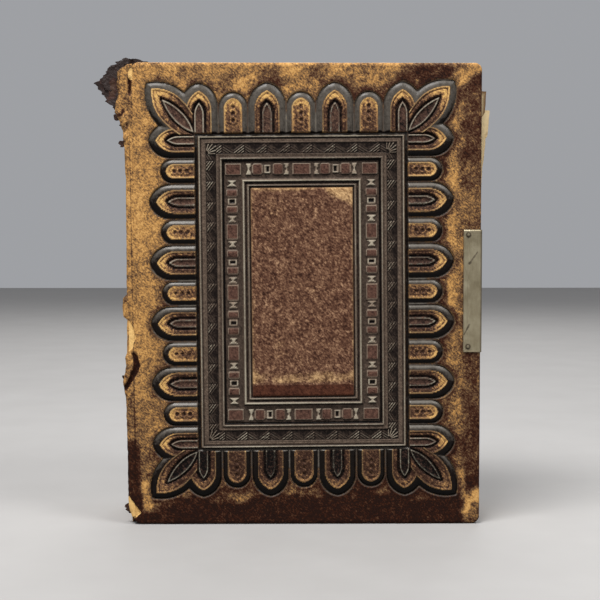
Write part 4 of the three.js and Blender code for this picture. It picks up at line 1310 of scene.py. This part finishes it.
def page_sheet(low, high, seed, ripple, step=3.2):
    """A thin leaf as a closed sheet with worn edges and a faint ripple, and how near it is to an edge."""
    x, z = np.meshgrid(graded([low[0], high[0]], [step]), graded([low[2], high[2]], [step]), indexing="xy")
    fore, top, tail = high[0] - x, high[2] - z, z - low[2]
    wave = 0.45 * noise_along(z, 24, seed) * smooth(-fore, -12, 0)
    x2 = x + wave * smooth(x, low[0] + 20, low[0] + 60)
    z2 = z + 0.35 * noise_along(x, 26, seed + 1) * (smooth(-top, -12, 0) + smooth(-tail, -12, 0))
    middle_y = ripple * noise(x, z, 60, seed + 2) * smooth(x, low[0] + 10, low[0] + 60)
    middle_y = middle_y + (low[1] + high[1]) / 2
    half = (high[1] - low[1]) / 2
    outer = np.stack([x2, middle_y - half, z2], -1)
    inner = np.stack([x2, middle_y + half, z2], -1)
    points, faces = slab(outer, inner)
    near_edge = np.minimum(np.minimum(fore, top), np.minimum(tail, x - low[0]))
    edge = 0.9 * (1 - smooth(near_edge, 0, 16 + 8 * noise(x, z, 30, seed + 3)))
    return points, faces, on_both(edge, edge)


def make_leaves():
    for side, label, others in ((FRONT, "front", 4), (BACK, "back", 2)):
        names = [f"{label}_flyleaf"] + [f"{label}_leaf_{i}" for i in range(1, others + 1)]
        for i, name in enumerate(names):
            low, high = box_mm(name)
            points, faces, edge = page_sheet(low, high, 300 + 10 * i + side, 0.17)
            shade = 1 if i == 0 else 0.3
            piece = put(f"{name}_sheet", points, faces, {"edge": shade * edge, "tone": 0 * edge})
            material, slot = (endpaper, "endpaper") if i == 0 else (page_paper, "page_paper")
            finish_piece(piece, material, None, [name])
            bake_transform(piece)
        low, high = box_mm(f"{label}_pastedown")
        points, faces, edge = page_sheet(low, high, 340 + side, 0.0)
        paste = put(f"{label}_pastedown_sheet", points, faces, {"edge": edge, "tone": 0 * edge})
        finish_piece(paste, endpaper, f"{label}_cover", [f"{label}_pastedown"])
        low, high = box_mm(f"{label}_endpaper_fold")
        points, faces, edge = page_sheet(low, high, 350 + side, 0.0, step=1.2)
        fold = put(f"{label}_endpaper_fold_sheet", points, faces, {"edge": 0.7 * edge, "tone": 0 * edge})
        finish_piece(fold, endpaper, "text_block", [f"{label}_endpaper_fold"])


# ---- Linings of the back ----
LINING_HALF = BLOCK_HALF - 0.6  # half width of what lines the block's back


def make_mull():
    """The open cloth glued over the block's back, frayed at its upper end."""
    across = np.linspace(-LINING_HALF, LINING_HALF, 60)
    across, z = np.meshgrid(across, graded([9.6, 308.4], [2.2]), indexing="xy")
    fray = 0.8 * noise_along(across, 2.4, 401) * smooth(z, 303, 308.4)
    ridges = 0.5 * band_profile(z, 1.2, 2.6)
    lumps = 0.12 * noise(across, z, 8, 402)
    outer = block_arc(across, z + fray, 2.05 + lumps + 0.25 * ridges)
    inner = block_arc(across, z + fray, 1.65 + lumps * 0.5)
    points, faces = slab(outer, inner)
    glue = smooth(noise(across, z, 12, 403), 0.0, 0.5)
    mull = put("spine_mull_cloth", points, faces, {"tone": on_both(glue, glue)})
    finish_piece(mull, mull_cloth, "text_block", ["spine_mull"])


def make_hollow():
    """The card between the mull and the spine leather, torn where the leather is."""
    across = np.linspace(-LINING_HALF + 1, LINING_HALF - 1, 60)
    across, z = np.meshgrid(across, graded([2.2, TORN_Z + 1], [2.5]), indexing="xy")
    ragged = 3 * noise_along(across, 7, 411) + 1.5 * noise_along(across, 2, 412) - 1.5
    torn = smooth(z, TORN_Z - 8, TORN_Z + 1) * ragged
    points, faces = slab(block_arc(across, z + torn, 2.95), block_arc(across, z + torn, 2.45))
    hollow = put("spine_hollow_card", points, faces)
    finish_piece(hollow, board_card, "text_block", ["spine_hollow"])


def round_cord(name, places, place_z, out, sides, radius):
    """A cord across the block's back; radius(angles) gives its half thickness and half height."""
    turn = np.linspace(0, 2 * math.pi, sides + 1)[:-1]
    centre = block_arc(places, 0 * places + place_z, out)
    loops = np.repeat(centre[:, None, :], sides, 1)
    thick, high = radius(turn)
    loops[..., 0] += thick * np.cos(turn)
    loops[..., 2] += high * np.sin(turn)
    return put(name, *rings(loops))


def make_cords():
    """The five twisted sewing cords and the two silk-wound end bands."""
    across = np.linspace(-LINING_HALF, LINING_HALF, 120)

    def twisted(turn):
        wave = np.cos(3 * (across[:, None] * 1.5 + turn[None, :]))
        return 0.46 * (1 + 0.12 * wave), 1.9 * (1 + 0.06 * wave)

    for i, place in enumerate(BAND_Z):
        cord = round_cord(f"sewing_cord_{i + 1}_hemp", across, place, 0.82, 14, twisted)
        finish_piece(cord, hemp, "text_block", [f"sewing_cord_{i + 1}"])
    wide = np.linspace(-LINING_HALF, LINING_HALF, 260)
    wound = 1 + 0.07 * np.abs(np.sin(wide * math.pi / 1.1))[:, None]
    for node in ("head_band", "tail_band"):
        low, high = box_mm(node)
        middle = (low[2] + high[2]) / 2
        worked = round_cord(f"{node}_silk", wide, middle, -1.2, 16, lambda turn: (wound * 1.1, wound * 1.2))
        finish_piece(worked, silk, "text_block", [node])


def cloth_material():
    g = Graph("mull_cloth")
    warp, weft = g.stripes("Z", 0.9, 0.6), g.stripes("Y", 0.9, 0.6)
    weave = g.math("MAXIMUM", warp, weft)
    glue = g.spread(g.total(g.attribute("tone"), g.noise(9, 4)), 0.3, 0.9)
    faded = g.total((weave, 0.6), g.noise(14, 4), 0.2)
    colour = g.ramp(faded, (0.1, srgb(112, 88, 56)), (0.7, srgb(198, 180, 140)))
    colour = g.mix(glue, colour, srgb(104, 72, 40))
    height = g.times(weave, g.math("SUBTRACT", 1.0, glue))
    return g.finish(Base_Color=colour, Roughness=g.total(0.9, (glue, -0.35)),
                    Normal=g.bump(height, 0.25, 0.8))


def board_material():
    g = Graph("millboard")
    fibres = g.noise(1.4, 4, 0.7, (1, 1, 0.5))
    mottled = g.total(0.5, fibres, (g.noise(20, 3), 0.8))
    colour = g.ramp(mottled, (0.2, srgb(120, 96, 62)), (0.8, srgb(186, 160, 116)))
    return g.finish(Base_Color=colour, Roughness=g.total(0.92, (fibres, 0.1)),
                    Normal=g.bump(fibres, 0.25, 0.7))


def hemp_material():
    g = Graph("hemp_cord")
    strands = g.noise(0.5, 4, 0.7, (1, 0.4, 1))
    colour = g.ramp(g.total(0.5, strands), (0.2, srgb(132, 102, 60)), (0.8, srgb(206, 178, 124)))
    return g.finish(Base_Color=colour, Roughness=g.total(0.9, (strands, 0.1)),
                    Normal=g.bump(strands, 0.3, 0.8))


def silk_material():
    g = Graph("silk_endband")
    bands = g.spread(g.stripes("Y", 2.2), 0.42, 0.58)
    thread = g.stripes("Y", 0.35, 0.3)
    dust = g.noise(5, 3)
    colour = g.mix(bands, srgb(120, 44, 34), srgb(206, 184, 132))
    colour = g.mix(g.spread(dust, 0.0, 0.4, 0.0, 0.5), colour, srgb(96, 78, 56))
    return g.finish(Base_Color=colour, Roughness=g.total(0.5, (dust, 0.3)), Normal=g.bump(thread, 0.15, 0.8))


# ---- Clasp ----
def nickel_material():
    """Dulled nickel: brushed, blotched, dirty in its corners, with painted shade and painted highlights on
    the front plate, and a few long scratches.
    """
    g = Graph("clasp_metal")
    brushed = g.noise(0.35, 3, 0.6, (1, 1, 0.06))
    blotch = g.noise(9, 4, 0.6)
    speck = g.noise(0.8, 3, 0.7)
    scratches = g.spread(g.noise(0.7, 1, 0.5, (1, 1, 0.05), 38), 0.27, 0.33, 0.0, 0.5)
    dulled = g.total(0.5, (blotch, 0.9), (brushed, 0.35))
    colour = g.ramp(dulled, (0.2, srgb(132, 120, 92)), (0.8, srgb(184, 174, 148)))
    # the attribute carries dirt together with the front plate's painted shade and painted highlights
    grime_and_shade = g.math("MINIMUM", g.add(g.attribute("grime_and_shade"), scratches), 1.0)
    grime_and_shade = g.math("MAXIMUM", grime_and_shade, g.spread(speck, 0.28, 0.4, 0.0, 0.6))
    colour = g.mix(grime_and_shade, colour, srgb(58, 48, 32))
    metal = g.total(0.9, (grime_and_shade, -0.55))
    rough = g.total(0.40, (blotch, 0.25), (brushed, 0.2), (grime_and_shade, 0.25))
    height = g.total(brushed, (grime_and_shade, -0.8))
    return g.finish(Base_Color=colour, Metallic=metal, Roughness=rough, Normal=g.bump(height, 0.08, 0.6))


PLATE_EDGE = FORE_X + 0.6  # outer face of the flange down the fore edge
PLATE_LEFT = PLATE_EDGE - 13.0
PLATE_ROLL = 2.1  # radius over the fore edge
PLATE_RISE = 1.25  # over the cover's face
FLANGE_END = -6.5
PLATE_OVER = 0.2  # beyond the CAD plate at each end
NAIL_INSET = 3.4
NAIL_DROPS = (3.6, 80.6)  # of the front nails, under the plate's upper edge
# scratches on the plate: from, to, half width, in from its left edge and down from its upper edge
PLATE_SCRATCHES = ((4.0, 23.2, 5.0, 22.4, 1.3), (4.9, 22.4, 6.2, 20.2, 0.9), (6.9, 19.2, 7.8, 18.0, 0.95),
                   (8.3, 17.4, 9.6, 15.4, 0.7), (0.6, 72.2, 2.6, 68.6, 0.7), (2.6, 68.6, 4.2, 65.4, 1.0))


def plate_paths():
    """The front plate's section: an outer line over the face and down the fore edge, and an inner line."""
    run = np.linspace(PLATE_LEFT + 0.9, PLATE_EDGE - PLATE_ROLL, 26)
    worn = 0.22 * bump(run - PLATE_LEFT, 3.2, 0.9) + 0.10 * bump(run - PLATE_LEFT, 7.0, 3.6)
    flat = [(PLATE_LEFT + 0.05, 0.45), (PLATE_LEFT + 0.3, 1.05), *zip(run, PLATE_RISE - worn)]
    middle = (PLATE_EDGE - PLATE_ROLL, PLATE_RISE - PLATE_ROLL)
    arc = [(middle[0] + PLATE_ROLL * math.cos(a), middle[1] + PLATE_ROLL * math.sin(a))
           for a in np.radians(np.linspace(82, 0, 12))]
    flange = [(PLATE_EDGE, y) for y in np.linspace(-1.4, FLANGE_END, 9)]
    outer = np.array(flat + arc + flange)
    inner_x = np.minimum(outer[:, 0], FORE_X + 0.1)
    inner_x = np.where(outer[:, 0] < PLATE_LEFT + 0.5, PLATE_LEFT + 0.3, inner_x)
    inner_y = np.maximum(np.minimum(outer[:, 1] - 0.5, 0.4), FLANGE_END)
    return outer, np.stack([inner_x, inner_y], -1)


def plate_grime_and_shade(x, z):
    """Dirt and painted light on the plate, in from its left edge and down from its top: edges, scratches and
    round nails, with painted shade over the fore-edge roll, a painted shadow line at the left edge and
    painted highlights along the left and top strips.
    """
    # painted shade over the roll round the fore edge; dirt in the engraved line near the left edge
    grime_and_shade = 0.75 * smooth(x, 10.9, 12.7) + 0.22 * bump(x, 3.2, 0.7) * (0.7 + noise(x, z, 9, 513))
    # a painted shadow line along the left edge; dirt in the engraved line under the top
    grime_and_shade = grime_and_shade + 0.45 * (1 - smooth(x, 0.0, 0.5)) + 0.3 * bump(z, 2.3, 0.5) * smooth(x, 3, 6)
    # painted highlights: paler strips along the left and top edges
    grime_and_shade = grime_and_shade - 0.35 * between(x, 0.6, 2.4, 0.4) - 0.35 * between(z, 0.3, 1.7, 0.4) * (x < 10)
    for scratch in PLATE_SCRATCHES:
        line = streak(x, z, *scratch) * (0.8 + 0.3 * noise(x, z, 1.5, 512))
        grime_and_shade = np.maximum(grime_and_shade, 1.1 * line)
    for drop in NAIL_DROPS:
        grime_and_shade = np.maximum(grime_and_shade, bump(np.hypot(x - NAIL_INSET, z - drop), 1.3, 1.1))
    return grime_and_shade


def make_front_plate():
    """The front clasp plate: a leaf on the cover's face, rolled over the fore edge, and a flange down it."""
    low, high = box_mm("front_clasp_plate")
    zs = graded([low[2] - PLATE_OVER, high[2] + PLATE_OVER], [0.5])
    grids = []
    for path, dent in zip(plate_paths(), (1, 0)):
        x, z = np.meshgrid(path[:, 0], zs, indexing="xy")
        out, _ = np.meshgrid(path[:, 1], zs, indexing="xy")
        end = np.minimum(z - zs[0], zs[-1] - z)
        dented = 0.4 * (1 - smooth(end, 0, 0.9)) + 0.08 * noise(x, z, 9, 501 + FRONT)
        out = out - dent * dented * (out > 0.3)
        grids.append(np.stack([x, PLAIN_Y[FRONT] + FRONT * out, z], -1))
    points, faces = slab(*grids)
    grime_and_shade = plate_grime_and_shade(grids[0][..., 0] - PLATE_LEFT, zs[-1] - grids[0][..., 2])
    plate = put("front_clasp_plate_metal", points, faces, {"grime_and_shade": on_both(grime_and_shade, 0.3)})
    finish_piece(plate, nickel, "front_cover", ["front_clasp_plate"])


# a nail's profile, radius and height over the cover, from its point to the middle of its head
NAIL_PROFILE = ((0.0, -3.0), (0.5, -2.4), (0.7, -1.6), (0.7, 1.05), (1.2, 1.1), (1.28, 1.3), (1.12, 1.62),
                (0.75, 1.82), (0.3, 1.9), (0.05, 1.91))


def make_nail(label, side, number):
    node = f"{label}_clasp_nail_{number}"
    low, high = box_mm(node)
    centre = (low + high) / 2
    if side == FRONT:
        plate_top = box_mm("front_clasp_plate")[1][2] + PLATE_OVER
        centre[0] = PLATE_LEFT + NAIL_INSET
        centre[2] = plate_top - NAIL_DROPS[0 if centre[2] > plate_top - 40 else 1]
    turn = np.linspace(0, 2 * math.pi, 25)[:-1]
    loops = []
    for radius, out in NAIL_PROFILE:
        x = centre[0] + (radius + 0.02) * np.cos(turn)
        y = np.full(turn.shape, PLAIN_Y[side] + side * (out + 0.15))
        loops.append(np.stack([x, y, centre[2] + (radius + 0.02) * np.sin(turn)], -1))
    points, faces = rings(loops)
    out = np.abs(points[:, 1] - PLAIN_Y[side])
    nail = put(f"{node}_head", points, faces, {"grime_and_shade": 1.0 - 0.45 * smooth(out, 1.8, 2.06)})
    finish_piece(nail, nickel, f"{label}_cover", [node])


# ---- Making everything ----
worn_leather = worn_leather_material()
page_paper = paper_edge_material()
endpaper = endpaper_material()
mull_cloth = cloth_material()
board_card = board_material()
hemp = hemp_material()
silk = silk_material()
nickel = nickel_material()
leather = cover_leather_material()

for label, side in (("front", FRONT), ("back", BACK)):
    skin = make_cover(label, side, GRID_STEP[side])
    finish_piece(skin, leather, f"{label}_cover", [f"{label}_cover_leather"])
    make_joint(label, side)
make_spine_leather()
make_torn_flap()
make_head_fringe()
make_frayed_tags()
make_gatherings()
make_loose_gathering()
make_leaves()
make_mull()
make_hollow()
make_cords()
make_front_plate()
for label, side in (("front", FRONT), ("back", BACK)):
    for number in (1, 2):
        make_nail(label, side, number)


def dress(node, material, bevel=0.0):
    """Gives a CAD node that stays its material, and softens its edges."""
    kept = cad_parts[node]
    for slot in kept.material_slots:
        slot.material = material
    if bevel:
        soften_edges(kept, bevel)


for label in ("front", "back"):
    dress(f"{label}_board", board_card, 0.4)
for i in range(1, 6):
    dress(f"raised_band_{i}", board_card, 0.3)
for node in ("back_clasp_plate", "clasp_strap", "clasp_hinge_pin"):
    dress(node, nickel, 0.25)


# ---- Stage, light and camera ----
def floor_material():
    g = Graph("pale_floor")
    cloudy = g.noise(80, 3)
    colour = g.ramp(g.total(0.5, cloudy), (0.2, (0.31, 0.30, 0.29)), (0.8, (0.34, 0.33, 0.32)))
    return g.finish(Base_Color=colour, Roughness=g.total(0.75, (cloudy, 0.1)))


FLOOR_HALF = 4000
FLOOR_Z = -0.2
floor_corners = [(x * FLOOR_HALF, y * FLOOR_HALF, FLOOR_Z) for x, y in ((-1, -1), (1, -1), (1, 1), (-1, 1))]
floor = put("floor", floor_corners, np.array([[0, 1, 2, 3]]))
floor.data.materials.append(floor_material())
floor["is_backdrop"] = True

world = bpy.data.worlds.new("studio")
bpy.context.scene.world = world
world.use_nodes = True
background = world.node_tree.nodes["Background"]
background.inputs["Color"].default_value = (0.93, 0.95, 1.0, 1)
background.inputs["Strength"].default_value = 0.37
bpy.context.scene.view_settings.view_transform = "Standard"


def area_light(name, place, size, power):
    """A soft rectangular lamp that points at the middle of the cover."""
    lamp = bpy.data.lights.new(name, "AREA")
    lamp.shape = "RECTANGLE"
    lamp.size, lamp.size_y = size
    lamp.energy = power
    made = bpy.data.objects.new(name, lamp)
    bpy.context.scene.collection.objects.link(made)
    made.location = Vector(place)
    made.rotation_euler = (TARGET - Vector(place)).to_track_quat("-Z", "Y").to_euler()


# places in metres, sizes in metres and power in watts
TARGET = Vector((0, 0, 0.16))
area_light("key_left", (-0.55, -0.90, 2.10), (1.0, 0.8), 69)
area_light("key_right", (1.0, -0.85, 1.60), (0.7, 0.7), 20)
area_light("back", (0.2, 1.8, 1.6), (1.2, 0.8), 20)

# the camera looks slightly down and to the right from in front of the upper middle of the cover
CAMERA_PLACE = (-6.69, PLAIN_Y[FRONT] - 900, 200.5)
CAMERA_DOWN = 2.856  # degrees
CAMERA_RIGHT = 0.649
camera_data = bpy.data.cameras.new("camera")
camera_data.lens = 78.58
camera_data.sensor_width = 36
camera = bpy.data.objects.new("camera", camera_data)
bpy.context.scene.collection.objects.link(camera)
camera.location = Vector(CAMERA_PLACE) * MM
camera.rotation_euler = (math.radians(90 - CAMERA_DOWN), 0, -math.radians(CAMERA_RIGHT))
bpy.context.scene.camera = camera

low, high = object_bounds()
{"cad": [list(corner) for corner in cad_box], "visual": [list(low), list(high)]}
